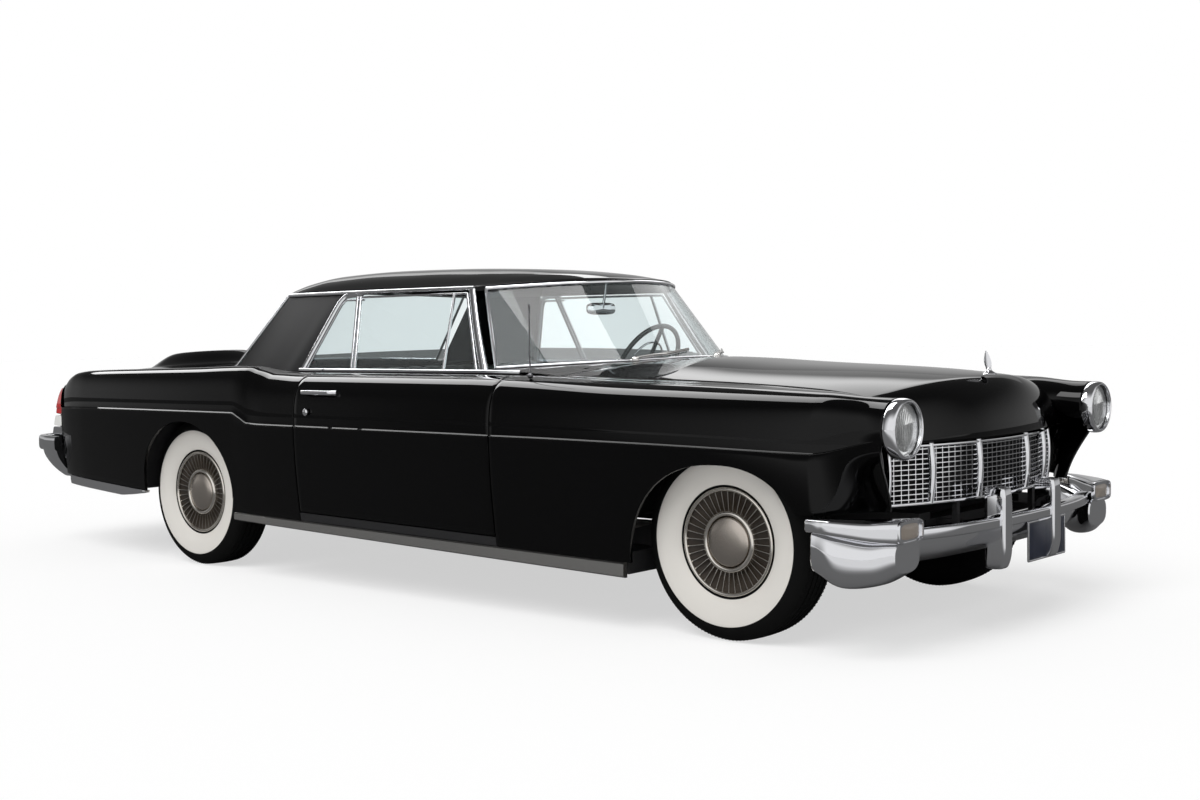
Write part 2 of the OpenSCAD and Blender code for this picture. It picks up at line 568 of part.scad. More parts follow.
module rear_bumper() color("#c8cacc") {
  blade_z = 558;
  half = [[tx(-8), -sy(929), blade_z], [tx(-150), -sy(917), blade_z], [tx(-285), -sy(850), blade_z],
    [tx(-345), -sy(650), blade_z], [x_tail + 1, 0, blade_z]];
  sweep(both_sides(half), [for (q = oval(46, 78)) [q[0] + 23, q[1]]]);
  low = [[tx(-8), -sy(919), 0], [tx(-150), -sy(905), 0], [tx(-262), -sy(836), 0], [tx(-318), -sy(640), 0],
    [tx(-340), 0, 0]];
  sweep(both_sides(low), [[0, 530], [40, 440], [110, 372], [126, 378], [70, 446], [30, 530]]);
  pair() {
    box([tx(-290), -sy(540) - 20, 440], [tx(-236) - seat, -sy(540) + 20, boot_floor - seat]);
    loft([for (x = steps(ra(-326), tx(70), 5)) let (z = tail_low(x), w = lower_w(x, z))
      [[x, -w - 6, z - seat], [x, -w - 6, z - 46], [x, -w + 24, z - 46], [x, -w + 24, z - seat]]]);
  }
}

module headlamps() color("#c8cacc") {
  r = lamp_radius;
  pair() translate([lamp_x - 18 + 3 * seat, -lamp_y, lamp_z]) rotate([0, 90, 0]) rotate_extrude()
    polygon([[0, -6], [r - 34, -6], [r - 24, 0], [r, 0], [r, 30], [r - 8, 46], [r - 14, 46], [r - 18, 30],
      [r - 44, 40], [0, 46]]);
}

module tail_lamps() color("#a11214") pair() {
  foot = 602;
  s = [for (q = section(tail_x, tail_low(tail_x))) if (q[1] > foot - 2 && q[0] > sy(720)) q];
  ring = concat(s, [[s[len(s) - 1][0], foot]]);
  mid = [sy(800), lerp(foot, crown_z(tail_x), 0.48)];
  loft([for (k = [0, 1]) [for (q = ring) let (d = lerp(150, 20, clamp01((q[1] - foot) / 285)) * stretch)
    [tail_x - seat - k * d, -lerp(q[0], mid[0], 0.12 * k), lerp(q[1], mid[1], 0.08 * k)]]]);
}

module sill_mouldings() color("#d0d2d4") pair()
  loft([for (x = steps(ra(432), fa(-390), 6))
    let (z = sill_z(x), w = lower_w(x, z), h = lerp(40, 58, (x - ra(432)) / (fa(-390) - ra(432))))
    [[x, -w - 9, z - 6], [x, -w - 9, z - h + 6], [x, -w + 2, z - h], [x, -w + 14, z - h], [x, -w + 14, z - 1],
     [x, -w - 2, z - 1]]]);

steering_hub = [df(-288), sy(380), belt_height + 3];
steering_tilt = 62;
column_radius = 22;
module dashboard() color("#3a4240") difference() {
  top = belt_height - 7;
  union() {
    across(-sy(700), sy(700)) polygon([[df(-190), top - 45], [df(-150), top - 2], [df(-40), top + 4],
      [df(45), top], [df(45), top - 250], [df(-60), top - 260], [df(-150), top - 190]]);
    box([df(40), -sy(590), top - 12], [df(178) - seat, sy(590), top]);
  }
  translate(steering_hub) rotate([0, -steering_tilt, 0]) translate([0, 0, -340])
    cylinder(h = 340, r = column_radius + hinge_play);
}

module front_seat() color("#4d5853") {
  // x of the drawn car, height
  outline = [[-190, 450], [400, 470], [420, 520], [380, 575], [-150, 545], [-330, belt_height + 28],
    [-385, belt_height + 41], [-430, belt_height + 18], [-300, 470]];
  across(-sy(690), sy(690)) polygon([for (q = outline) [q[0] * stretch, q[1]]]);
  pair() box([-200 * stretch, -sy(640), floor_top + seat], [300 * stretch, -sy(150), 475]);
}
module rear_seat() color("#4d5853") across(-sy(600), sy(600))
  polygon([[ra(640), 440 + 2 * seat], [ra(690), 470], [ra(690), 580], [ra(650), 612], [ra(215), 602],
    [ra(70), belt_height - 32], [ra(30), belt_height - 15], [ra(-15), belt_height - 32],
    [ra(135), 560 + 2 * seat], [ra(152), 560 + 2 * seat], [ra(360), 500 + 2 * seat]]);

module engine() color("#3c4043") {
  // Half section: y, height; the upper part follows the belt line.
  low = 480;
  rise = (belt_height - 557) / 400;
  half = [[150, 310], [200, low], [300, 640], [250, 760], [120, 800], [120, 880]];
  right = [for (q = half) [sy(q[0]), q[1] > low ? low + (q[1] - low) * rise : q[1]]];
  translate([fa(-780), 0, 0]) rotate([90, 0, 90]) linear_extrude(660 * stretch)
    polygon(concat(right, [for (i = [len(right) - 1:-1:0]) [-right[i][0], right[i][1]]]));
  pair() box([fa(-250), seat - rail_in, 420], [fa(-190), -sy(150), 450]);
}

module wishbone(z, t, inner) translate([0, 0, z]) linear_extrude(t)
  polygon([[fa(-150), -inner], [fa(-150), -inner - 30], [fa(-25), -kingpin_y - 22], [fa(25), -kingpin_y - 22],
    [fa(150), -inner - 30], [fa(150), -inner]]);
module front_suspension() color("#232425") {
  box([fa(-70), seat - rail_in, 370], [fa(70), rail_in - seat, 430]);
  pair() {
    wishbone(214, 36 - seat, rail_in - 50);
    wishbone(480 + seat, 24, rail_in - 5);
    box([fa(-60), 5 - rail_in, 230], [fa(60), 50 - rail_in, 375]);
    box([fa(-60), 1 - rail_in, 425], [fa(60), 20 - rail_in, 500]);
  }
}

module rear_axle_beam() color("#232425") {
  y = -rear_track / 2;
  translate([rear_axle, y + 60, tyre_radius]) rotate([-90, 0, 0]) cylinder(h = rear_track - 120, r = 45);
  translate([rear_axle, 0, tyre_radius]) sphere(150);
  pair() {
    translate([rear_axle, y - 30, tyre_radius]) rotate([-90, 0, 0]) cylinder(h = 120, r = spindle_radius);
    box([ra(-40), -sy(540) - 35, tyre_radius - 20], [ra(40), -sy(540) + 35, rear_rail_z - rail_h / 2 - seat]);
  }
}

module exhaust() color("#4a4c4e") pair() {
  r = 28;
  y = -sy(330);
  z = rail_z - 40 - seat - r;
  rail([[fa(-800), y, z + 20], [0, y, z], [-600 * stretch, y, z]], 2 * r, 2 * r);
}

module antenna() color("#c8cacc") {
  x = lerp(door_front + shut_gap / 2, fa(-372), 1 / 5);
  s = section(x, sill_z(x));
  crown = low_rows + up_rows;
  foot = s[crown];
  out = [s[crown - 1][1] - s[crown + 1][1], s[crown + 1][0] - s[crown - 1][0]];
  ball = 11;
  n = -out / norm(out) * (ball + seat);
  translate([x, -foot[0] - n[0], foot[1] + n[1]]) {
    sphere(ball);
    cylinder(h = 285, r = 3);
  }
}

module hood() color("#0b0c0d") {
  rows = concat(steps(0, 1, 10), [1.15, 1.3, 1.5, 1.75, 2]);
  skin([for (u = rows) [for (v = steps(-1, 1, 18)) hood_point(u, v)]], -panel_thickness);
  pair() hinge_arm(hood_pivot, [[0, 0], [35, -110], [110, -150], [190, -110], [215, 30]], hood_hinge_y);
}

module boot_lid() color("#0b0c0d") {
  skin([for (s = steps(0, 1, 19)) [for (v = steps(-1, 1, 18)) boot_point(s, v)]], panel_thickness);
  d = boot_dip;
  arm = [[0, 0], [-30, -150 * d], [-110, -215 * d], [-200, -190 * d], [-262, -90 * d], [-275, 34]];
  pair() hinge_arm(boot_pivot, arm, boot_hinge_y);
}

module door() color("#0b0c0d") {
  xs = steps(door_rear + shut_gap / 2, door_front - shut_gap / 2, 9);
  outer = side_grid([for (x = xs) [x, sill_z(x) + 42]]);
  n = len(outer[0]) - 1;
  low_y = half_w - sy(38) - door_depth;
  slab(outer, [for (r = outer) [for (j = [0:n]) let (k = j / n)
    [max(r[j][0], dr(43)), -lerp(low_y, half_w - sy(226), k * k), lerp(r[0][2], belt_height - 3, k)]]]);
}
module door_right() { door(); }
module door_left() { left() door(); }

module door_glass() color("#b9cdc6")
  side_pane([dr(194), df(-245)], [dr(112), df(-412)], belt_height + seat / 3, glass_thickness);
module door_glass_right() { door_glass(); }
module door_glass_left() { left() door_glass(); }

module steering_wheel() color("#1c2422") translate(steering_hub) rotate([0, -steering_tilt, 0]) {
  ring = 205;
  rotate_extrude() translate([ring, 0]) circle(11);
  cylinder(h = 40, r = 45, center = true);
  for (a = [0, 120, 240]) rotate(a) translate([0, -10, -6]) cube([ring, 20, 10]);
  translate([0, 0, -330]) cylinder(h = 325, r = column_radius);
}

module knuckle() color("#2b2c2d") {
  y = -front_track / 2;
  translate([front_axle, -kingpin_y, 250]) cylinder(h = 230, r = 24);
  translate([front_axle, y - 30, tyre_radius]) rotate([-90, 0, 0]) cylinder(h = 140, r = spindle_radius);
  box([front_axle - 180, y + 92, 300], [front_axle, y + 112, 322]);
}
module knuckle_right() { knuckle(); }
module knuckle_left() { left() knuckle(); }

// Wheel and cover about the Y axis, outer face towards -Y.
module wheel(x, y) color("#c8cacc") translate([x, y, tyre_radius]) rotate([90, 0, 0]) {
  difference() {
    rotate_extrude() polygon([[0, -40], [120, -40], [150, -20], [rim_radius - 16, -20],
      [rim_radius - 16, -88], [rim_radius - seat, -88], [rim_radius - seat, 62], [rim_radius + 10, 70], [rim_radius + 8, 78],
      [rim_radius - 12, 72], [rim_radius - 22, 50], [112, 50], [96, 72], [60, 86], [0, 92]]);
    translate([0, 0, -41]) cylinder(h = 72, r = spindle_radius + hinge_play);
  }
  for (i = [0:fin_count - 1]) rotate(360 * i / fin_count) translate([100, -2, 46])
    cube([rim_radius - 118, 4, 16]);
}
// Outer half of a tyre's section: radius, distance from the middle plane.
tyre_side = [[rim_radius, 60], [rim_radius + 22, 76], [rim_radius + 70, tyre_width / 2],
  [whitewall_radius, tyre_width / 2], [tyre_radius - 22, tyre_width / 2 - 12],
  [tyre_radius - 4, tyre_width / 2 - 34], [tyre_radius, tyre_width / 2 - 60]];
module tyre(x, y) color("#141414") translate([x, y, tyre_radius]) rotate([90, 0, 0]) rotate_extrude()
  polygon(concat(tyre_side, [for (i = [len(tyre_side) - 1:-1:0]) [tyre_side[i][0], -tyre_side[i][1]]]));
module wheel_front_right() { wheel(front_axle, -front_track / 2); }
module wheel_front_left() { left() wheel(front_axle, -front_track / 2); }
module wheel_rear_right() { wheel(rear_axle, -rear_track / 2); }
module wheel_rear_left() { left() wheel(rear_axle, -rear_track / 2); }
module tyre_front_right() { tyre(front_axle, -front_track / 2); }
module tyre_front_left() { left() tyre(front_axle, -front_track / 2); }
module tyre_rear_right() { tyre(rear_axle, -rear_track / 2); }
module tyre_rear_left() { left() tyre(rear_axle, -rear_track / 2); }

chassis_frame();
floor_pan();
door_frames();
cowl();
front_fender_right();
front_fender_left();
rear_quarter_right();
rear_quarter_left();
tail_panel();
rear_deck();
roof();
sail_panels();
windscreen();
rear_window();
quarter_windows();
window_trim();
grille();
front_bumper();
rear_bumper();
headlamps();
tail_lamps();
sill_mouldings();
dashboard();
front_seat();
rear_seat();
engine();
front_suspension();
rear_axle_beam();
exhaust();
antenna();
hood();
boot_lid();
door_right();
door_left();
door_glass_right();
door_glass_left();
steering_wheel();
knuckle_right();
knuckle_left();
wheel_front_right();
wheel_front_left();
wheel_rear_right();
wheel_rear_left();
tyre_front_right();
tyre_front_left();
tyre_rear_right();
tyre_rear_left();
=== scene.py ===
"""Looks of a two-door luxury coupe: finishes, smooth panels, glass, bright trim and a studio.

The shapes follow the same section tables and formulas as the part's source, at a finer step,
in millimetres; pieces are turned into metres when their mesh is made.
"""

from __future__ import annotations

import json
import logging
import math
from dataclasses import dataclass, field
from enum import Enum
from typing import Callable, Iterable, Optional, Sequence, Union

import bmesh
import bpy
import numpy as np
from mathutils import Matrix, Vector

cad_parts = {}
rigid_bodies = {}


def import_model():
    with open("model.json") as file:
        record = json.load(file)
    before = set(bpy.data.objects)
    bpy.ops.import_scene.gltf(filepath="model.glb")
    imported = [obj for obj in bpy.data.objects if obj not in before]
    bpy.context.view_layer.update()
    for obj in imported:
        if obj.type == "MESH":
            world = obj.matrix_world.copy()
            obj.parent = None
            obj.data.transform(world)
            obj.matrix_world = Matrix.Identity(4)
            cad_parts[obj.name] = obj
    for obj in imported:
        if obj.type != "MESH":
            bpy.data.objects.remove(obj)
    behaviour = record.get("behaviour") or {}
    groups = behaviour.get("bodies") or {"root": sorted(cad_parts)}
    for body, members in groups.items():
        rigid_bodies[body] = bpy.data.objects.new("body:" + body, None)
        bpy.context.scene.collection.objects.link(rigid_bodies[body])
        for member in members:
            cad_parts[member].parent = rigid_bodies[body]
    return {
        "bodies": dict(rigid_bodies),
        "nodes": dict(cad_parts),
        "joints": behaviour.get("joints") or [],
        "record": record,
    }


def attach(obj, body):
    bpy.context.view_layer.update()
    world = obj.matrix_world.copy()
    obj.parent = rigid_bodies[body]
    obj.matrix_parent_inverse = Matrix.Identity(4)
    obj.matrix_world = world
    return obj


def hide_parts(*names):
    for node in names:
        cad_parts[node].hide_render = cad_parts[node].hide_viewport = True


LOG = logging.getLogger("coupe")
MM = 0.001
Values = Union[float, np.ndarray]
Source = Union[float, Sequence[float], bpy.types.NodeSocket]
WHITE = (1.0, 1.0, 1.0, 1.0)
SHARP = 38.0
TINY = 1e-9

OVERALL_LENGTH = 5547.0
HALF_W = 984.0
HEIGHT = 1430.0
X_NOSE = OVERALL_LENGTH / 2
X_TAIL = -X_NOSE
FRONT_AXLE = X_NOSE - 793.0
REAR_AXLE = FRONT_AXLE - 3200.0
DOOR_FRONT = FRONT_AXLE - 1050.0
DOOR_REAR = DOOR_FRONT - 1226.0
LAMP_X = FRONT_AXLE + 690.0
TAIL_X = REAR_AXLE - 1185.0
FRONT_TRACK = 1486.0
REAR_TRACK = 1524.0
BELT = 957.0
CREASE = 717.0
SILL = 300.0
SILL_DROP = 34.0
SKIN = 14.0
GAP = 6.0
TYRE_R = 360.0
RIM_R = 196.0
WHITE_R = 304.0
FINS = 40
RIBS = 140
LAMP_Y = 771.0
LAMP_Z = 787.0
LAMP_R = 104.0
GRILLE_TOP = 715.0
GRILLE_LOW = 505.0
GRILLE_HALF = 630.0
GRILLE_R = 1550.0
GRILLE_X = FRONT_AXLE + 682.0
GUARD_Y = 201.0
ROOF_EDGE_Z = HEIGHT - 108.0
SIDE_TOP_Z = HEIGHT - 131.0
BOOT_FRONT = REAR_AXLE - 270.0
SEAT = 0.3
EDGE_R = 1.6
FLANK = (0.0, -1.0, 0.3)

# x, tuck, crease, crown_in, crown_up, gap_in, gap_up: insets from the half width, offsets of heights
BODY_ROWS = (
    (TAIL_X, 96, 33, 190, -70, 286, -74),
    (TAIL_X + 65, 80, 36, 166, -36, 286, -40),
    (TAIL_X + 145, 66, 39, 150, -16, 286, -24),
    (TAIL_X + 285, 50, 41, 140, -5, 286, -15),
    (TAIL_X + 805, 22, 45, 124, 8, 286, -2),
    (REAR_AXLE + 90, 8, 47, 118, 18, 278, 6),
    (REAR_AXLE + 460, 2, 48, 112, 27, 232, 8),
    (REAR_AXLE + 520, 1, 28, 112, 25, 224, 8),
    (REAR_AXLE + 585, 1, 3, 118, 12, 215, 6),
    (REAR_AXLE + 690, 0, 0, 150, -2, 200, 2),
    (DOOR_REAR - 60, 0, 0, 184, -1, 195, 0),
    (DOOR_REAR + 300, 0, 0, 188, 0, 196, 0),
    (DOOR_FRONT - 200, 2, 0, 190, -1, 198, 0),
    (DOOR_FRONT, 4, -1, 196, -4, 214, -2),
    (DOOR_FRONT + 170, 6, -1, 206, -8, 256, -6),
    (FRONT_AXLE - 480, 10, -3, 222, -22, 292, -18),
    (FRONT_AXLE - 80, 20, -7, 224, -32, 316, -30),
    (FRONT_AXLE + 270, 34, -13, 214, -43, 328, -48),
    (FRONT_AXLE + 520, 56, -17, 208, -54, 330, -84),
    (LAMP_X, 98, -20, 213, -66, 330, -140),
)
# x, height of the middle lines
HOOD_ROWS = (
    (DOOR_FRONT + 180, 1012), (FRONT_AXLE - 600, 1006), (FRONT_AXLE - 220, 987),
    (FRONT_AXLE + 240, 968), (FRONT_AXLE + 520, 948), (FRONT_AXLE + 690, 926),
)
BOOT_ROWS = (
    (-2660, 700), (-2640, 790), (-2600, 862), (-2540, 912), (-2440, 942),
    (-2300, 958), (-2000, 974), (-1480, 984),
)
ROOF_ROWS = (
    (-1075, 1352), (-1030, 1372), (-950, 1394), (-750, 1420), (-376, HEIGHT),
    (0, 1426), (400, 1411), (700, 1384), (920, 1348),
)


class Grain(Enum):
    """Fine surface structure of a finish."""

    NONE = "none"
    BRUSHED = "brushed"
    LEATHER = "leather"
    RUBBER = "rubber"
    CAST = "cast"


class Side(Enum):
    """Side of the car; the value is the sign of Y."""

    RIGHT = -1
    LEFT = 1

    @property
    def label(self) -> str:
        """Word for piece names."""
        return self.name.lower()

    @property
    def door(self) -> str:
        """Body of the door on this side."""
        return f"door_{self.label}"


@dataclass(frozen=True)
class Finish:
    """One surface finish.

    Args:
        name: material name.
        color: linear base colour.
        metallic, roughness, coat, transmission, ior: shader values.
        grain: fine structure laid over the surface.
    """

    name: str
    color: tuple[float, float, float]
    metallic: float = 0.0
    roughness: float = 0.5
    coat: float = 0.0
    transmission: float = 0.0
    ior: float = 1.5
    grain: Grain = Grain.NONE


PAINT = Finish("body_black", (0.0008, 0.0008, 0.0009), roughness=0.03, ior=1.32)
SATIN = Finish("pillar_satin_black", (0.006, 0.006, 0.0065), roughness=0.40, ior=1.3)
FRAME_BLACK = Finish("frame_black", (0.012, 0.012, 0.013), roughness=0.6, grain=Grain.CAST)
CHROME = Finish("chrome", (0.86, 0.865, 0.89), metallic=1.0, roughness=0.05)
BRUSHED = Finish("brushed_steel", (0.72, 0.71, 0.69), metallic=1.0, roughness=0.24, grain=Grain.BRUSHED)
COVER = Finish("wheel_cover_metal", (0.66, 0.60, 0.54), metallic=1.0, roughness=0.26, grain=Grain.BRUSHED)
FIN = Finish("wheel_fin_metal", (0.88, 0.84, 0.78), metallic=1.0, roughness=0.16)
COVER_DARK = Finish("wheel_cover_recess", (0.030, 0.022, 0.016), metallic=0.2, roughness=0.45)
GLASS = Finish("pale_glass", (0.86, 0.915, 0.92), roughness=0.0, transmission=1.0, ior=1.45)
LENS = Finish("clear_lens", (0.96, 0.97, 0.97), roughness=0.02, transmission=1.0, ior=1.45)
RED_LENS = Finish("red_lens", (0.42, 0.012, 0.012), roughness=0.06, coat=0.6)
SMOKED_LENS = Finish("smoked_lens", (0.23, 0.20, 0.17), roughness=0.14, coat=0.6)
MAST = Finish("antenna_steel", (0.16, 0.16, 0.17), metallic=1.0, roughness=0.2)
WHITE_LENS = Finish("white_lens", (0.72, 0.72, 0.70), roughness=0.12, coat=0.5)
RUBBER = Finish("tyre_black", (0.003, 0.003, 0.003), roughness=0.70, ior=1.25, grain=Grain.RUBBER)
WHITEWALL = Finish("tyre_white", (0.60, 0.58, 0.545), roughness=0.55, grain=Grain.RUBBER)
LEATHER = Finish("seat_leather", (0.085, 0.105, 0.098), roughness=0.48, grain=Grain.LEATHER)
DASH = Finish("dash_paint", (0.040, 0.052, 0.050), roughness=0.35)
CARPET = Finish("floor_carpet", (0.020, 0.024, 0.023), roughness=0.95, grain=Grain.CAST)
IRON = Finish("engine_iron", (0.070, 0.076, 0.080), roughness=0.55, grain=Grain.CAST)
PIPE = Finish("exhaust_steel", (0.24, 0.23, 0.22), metallic=0.8, roughness=0.5, grain=Grain.CAST)
# near-black: painted shade on the sheet behind the grille, and the real black of the dial faces
DARK = Finish("dark_recess", (0.006, 0.006, 0.006), roughness=0.8)
PLATE = Finish("blank_plate", (0.010, 0.014, 0.030), roughness=0.35)
WHEEL_RIM = Finish("steering_plastic", (0.020, 0.030, 0.028), roughness=0.25, coat=0.4)

NODE_FINISH: dict[str, Finish] = {
    "chassis_frame": FRAME_BLACK, "floor_pan": CARPET, "door_frames": FRAME_BLACK,
    "cowl": PAINT, "rear_deck": PAINT, "tail_panel": PAINT, "window_trim": CHROME,
    "sill_mouldings": BRUSHED, "dashboard": DASH, "front_seat": LEATHER, "rear_seat": LEATHER,
    "engine": IRON, "front_suspension": FRAME_BLACK, "rear_axle_beam": FRAME_BLACK,
    "exhaust": PIPE, "antenna": MAST, "steering_wheel": WHEEL_RIM,
    "knuckle_right": FRAME_BLACK, "knuckle_left": FRAME_BLACK, "grille": CHROME,
    "front_bumper": CHROME, "rear_bumper": CHROME, "headlamps": CHROME, "tail_lamps": RED_LENS,
}


class Bench:
    """Adds and joins the nodes of one shader tree."""

    def __init__(self, tree: bpy.types.NodeTree) -> None:
        """Takes the tree to work in."""
        self.nodes, self.links = tree.nodes, tree.links

    def add(self, kind: str, inputs: Optional[dict] = None, **settings: object) -> bpy.types.Node:
        """Adds a node.

        Args:
            kind: its type, without the common prefix.
            inputs: a value or a source for each input, by name or place.
            settings: the node's own properties.
        Returns:
            The node.
        """
        node = self.nodes.new(f"ShaderNode{kind}")
        for key, value in settings.items():
            setattr(node, key, value)
        for key, value in (inputs or {}).items():
            if isinstance(value, bpy.types.NodeSocket):
                self.links.new(value, node.inputs[key])
            else:
                node.inputs[key].default_value = value
        return node

    def math(self, operation: str, a: Source, b: Source) -> bpy.types.NodeSocket:
        """Result of an operation on two numbers or sources."""
        return self.add("Math", {0: a, 1: b}, operation=operation).outputs[0]

    def dot(self, vector: bpy.types.NodeSocket, direction: Sequence[float]) -> bpy.types.NodeSocket:
        """Length of a vector along a direction."""
        return self.add("VectorMath", {0: vector, 1: direction}, operation="DOT_PRODUCT").outputs["Value"]

    def fade(self, value: bpy.types.NodeSocket, low: float, high: float, start: float = 0.0,
             end: float = 1.0) -> bpy.types.NodeSocket:
        """Soft step of a value, from start at low to end at high."""
        ends = {"Value": value, "From Min": low, "From Max": high, "To Min": start, "To Max": end}
        return self.add("MapRange", ends, interpolation_type="SMOOTHSTEP").outputs[0]

    def mix(self, share: Source, first: bpy.types.Node, second: bpy.types.Node) -> bpy.types.Node:
        """Mix of two shaders; a share of 1 is all of the second."""
        return self.add("MixShader", {0: share, 1: first.outputs[0], 2: second.outputs[0]})


class FinishShop:
    """Makes each finish's material once."""

    def __init__(self) -> None:
        """Starts with no material made."""
        self._made: dict[str, bpy.types.Material] = {}

    def get(self, finish: Finish) -> bpy.types.Material:
        """Material of a finish.

        Args:
            finish: the finish wanted.
        Returns:
            The material, made on first use.
        """
        if finish.name not in self._made:
            self._made[finish.name] = self._make(finish)
        return self._made[finish.name]

    def _make(self, finish: Finish) -> bpy.types.Material:
        """Makes a material.

        Args:
            finish: the finish wanted.
        Returns:
            A new material with its values and grain.
        """
        mat = bpy.data.materials.new(finish.name)
        mat.use_nodes = True
        shader = mat.node_tree.nodes["Principled BSDF"]
        values = {
            "Base Color": (*finish.color, 1.0), "Metallic": finish.metallic,
            "Roughness": finish.roughness, "IOR": finish.ior, "Coat Weight": finish.coat,
            "Coat Roughness": 0.03, "Transmission Weight": finish.transmission,
        }
        for socket, value in values.items():
            shader.inputs[socket].default_value = value
        if finish.grain is not Grain.NONE:
            self._add_grain(mat, shader, finish.grain)
        return mat

    @staticmethod
    def _add_grain(mat: bpy.types.Material, shader: bpy.types.Node, grain: Grain) -> None:
        """Lays a fine bump over the surface, in object coordinates.

        Args:
            mat: the material.
            shader: its main node.
            grain: the structure wanted.
        """
        # scale along X, Y and Z, bump strength, bump depth in metres
        scale, strength, depth = {
            Grain.BRUSHED: ((2.0, 400.0, 400.0), 0.12, 0.0002),
            Grain.LEATHER: ((160.0, 160.0, 160.0), 0.35, 0.0008),
            Grain.RUBBER: ((300.0, 300.0, 300.0), 0.15, 0.0003),
            Grain.CAST: ((120.0, 120.0, 120.0), 0.35, 0.0008),
        }[grain]
        bench = Bench(mat.node_tree)
        place = bench.add("TexCoord").outputs["Object"]
        spread = bench.add("Mapping", {"Vector": place, "Scale": scale}).outputs["Vector"]
        noise = bench.add("TexNoise", {"Vector": spread, "Scale": 1.0, "Detail": 3.0}).outputs["Fac"]
        bump = bench.add("Bump", {"Height": noise, "Strength": strength, "Distance": depth})
        bench.links.new(bump.outputs["Normal"], shader.inputs["Normal"])


def lerp(a: Values, b: Values, t: Values) -> Values:
    """Value between a and b at t, for numbers or arrays."""
    return a + (b - a) * t


def smooth(a: float, b: float, x: Values) -> Values:
    """Soft step from 0 at a to 1 at b."""
    t = np.clip((x - a) / (b - a), 0.0, 1.0)
    return t * t * (3.0 - 2.0 * t)


def spow(a: Values, p: float) -> Values:
    """Power that keeps the sign."""
    return np.sign(a) * np.abs(a) ** p


def along(rows: Sequence[Sequence[float]], column: int) -> Callable[[Values], Values]:
    """Smooth function of the first column of a table.

    Args:
        rows: table whose first column rises.
        column: the column to follow.
    Returns:
        A function that takes an array of x; its ends are held.
    """
    xs = np.array([r[0] for r in rows], float)
    ys = np.array([r[column] for r in rows], float)
    sec = np.diff(ys) / np.diff(xs)
    slope = np.empty_like(xs)
    slope[0], slope[-1] = sec[0], sec[-1]
    prod = sec[:-1] * sec[1:]
    total = np.where(np.abs(sec[:-1] + sec[1:]) < 1e-12, 1.0, sec[:-1] + sec[1:])
    slope[1:-1] = np.where(prod > 0, 2 * prod / total, 0.0)

    def value(x: Values) -> Values:
        """The curve.

        Args:
            x: places along the first column.
        Returns:
            Its value at each.
        """
        x = np.asarray(x, float)
        i = np.clip(np.searchsorted(xs, x, side="right") - 1, 0, len(xs) - 2)
        h = xs[i + 1] - xs[i]
        u = np.clip((x - xs[i]) / h, 0.0, 1.0)
        d, da, db = ys[i + 1] - ys[i], slope[i] * h, slope[i + 1] * h
        return ys[i] + u * (da + u * (3 * d - 2 * da - db + u * (da + db - 2 * d)))

    return value


TUCK_AT, CREASE_AT, CROWN_IN_AT, CROWN_UP_AT, GAP_IN_AT, GAP_UP_AT = (
    along(BODY_ROWS, c) for c in range(1, 7)
)
HOOD_AT = along(HOOD_ROWS, 1)
BOOT_AT = along(BOOT_ROWS, 1)
ROOF_AT = along(ROOF_ROWS, 1)


def side_w(x: Values) -> Values:
    """Half width at the crease."""
    return HALF_W - TUCK_AT(x)


def crease_z(x: Values) -> Values:
    """Height of the side crease."""
    return CREASE + CREASE_AT(x)


def gap_w(x: Values) -> Values:
    """Half width at the inner edge of a fender."""
    return HALF_W - GAP_IN_AT(x)


def gap_z(x: Values) -> Values:
    """Height of the inner edge of a fender."""
    return BELT + GAP_UP_AT(x)


def lower_w(x: Values, z: Values) -> Values:
    """Half width of the side under the crease."""
    c = crease_z(x)
    return side_w(x) - 5 - 38 * np.clip((c - z) / (c - 260), 0, 1) ** 1.7


def sill_z(x: Values) -> Values:
    """Height of the side's lower edge between the wheels."""
    return SILL - SILL_DROP * np.clip((x - REAR_AXLE - 430) / 2360, 0, 1)


def tail_low(x: Values) -> Values:
    """Height of the side's lower edge behind the rear wheel."""
    return lerp(356, 392, (REAR_AXLE - 330 - x) / 780)


def front_arch(angle: Values) -> tuple[Values, Values]:
    """x and lower edge around the front wheel, for an angle in degrees."""
    c = spow(np.cos(np.radians(angle)), 2 / 2.3)
    return FRONT_AXLE + 50 + np.where(c < 0, 416, 385) * c, 200 + 450 * np.sin(np.radians(angle)) ** (2 / 2.3)


def rear_arch(angle: Values) -> tuple[Values, Values]:
    """x and lower edge around the rear wheel, for an angle in degrees."""
    return REAR_AXLE + 47 + 378 * np.cos(np.radians(angle)), 390 + 325 * np.sin(np.radians(angle))


# Rows of a side section: lower side, rounded crease, shoulder, inner slope.
LOW_T = np.linspace(0, 1, 13)
NOSE_IN = np.array([4.0, 2.3, 0.8, 0.0, 0.3, 1.6, 5.0, 9.0])
NOSE_DOWN = np.array([5.0, 2.9, 1.0, 0.0, -0.9, -2.0, -3.7, -5.6])
LEDGE_IN, LEDGE_UP = 9.6, 6.6
UP_T = np.linspace(0.0, 1, 26)
IN_T = np.linspace(0, 1, 9)[1:]
LAMP_DEG = np.concatenate([
    lerp(-100, -22, LOW_T), np.linspace(-21.6, -19.4, len(NOSE_IN)), lerp(-19, 92.2, UP_T),
    lerp(92.2, 205, IN_T),
])
LAMP_SHARE = np.concatenate([LOW_T ** 1.5, np.ones(len(NOSE_IN) + len(UP_T) + len(IN_T))])


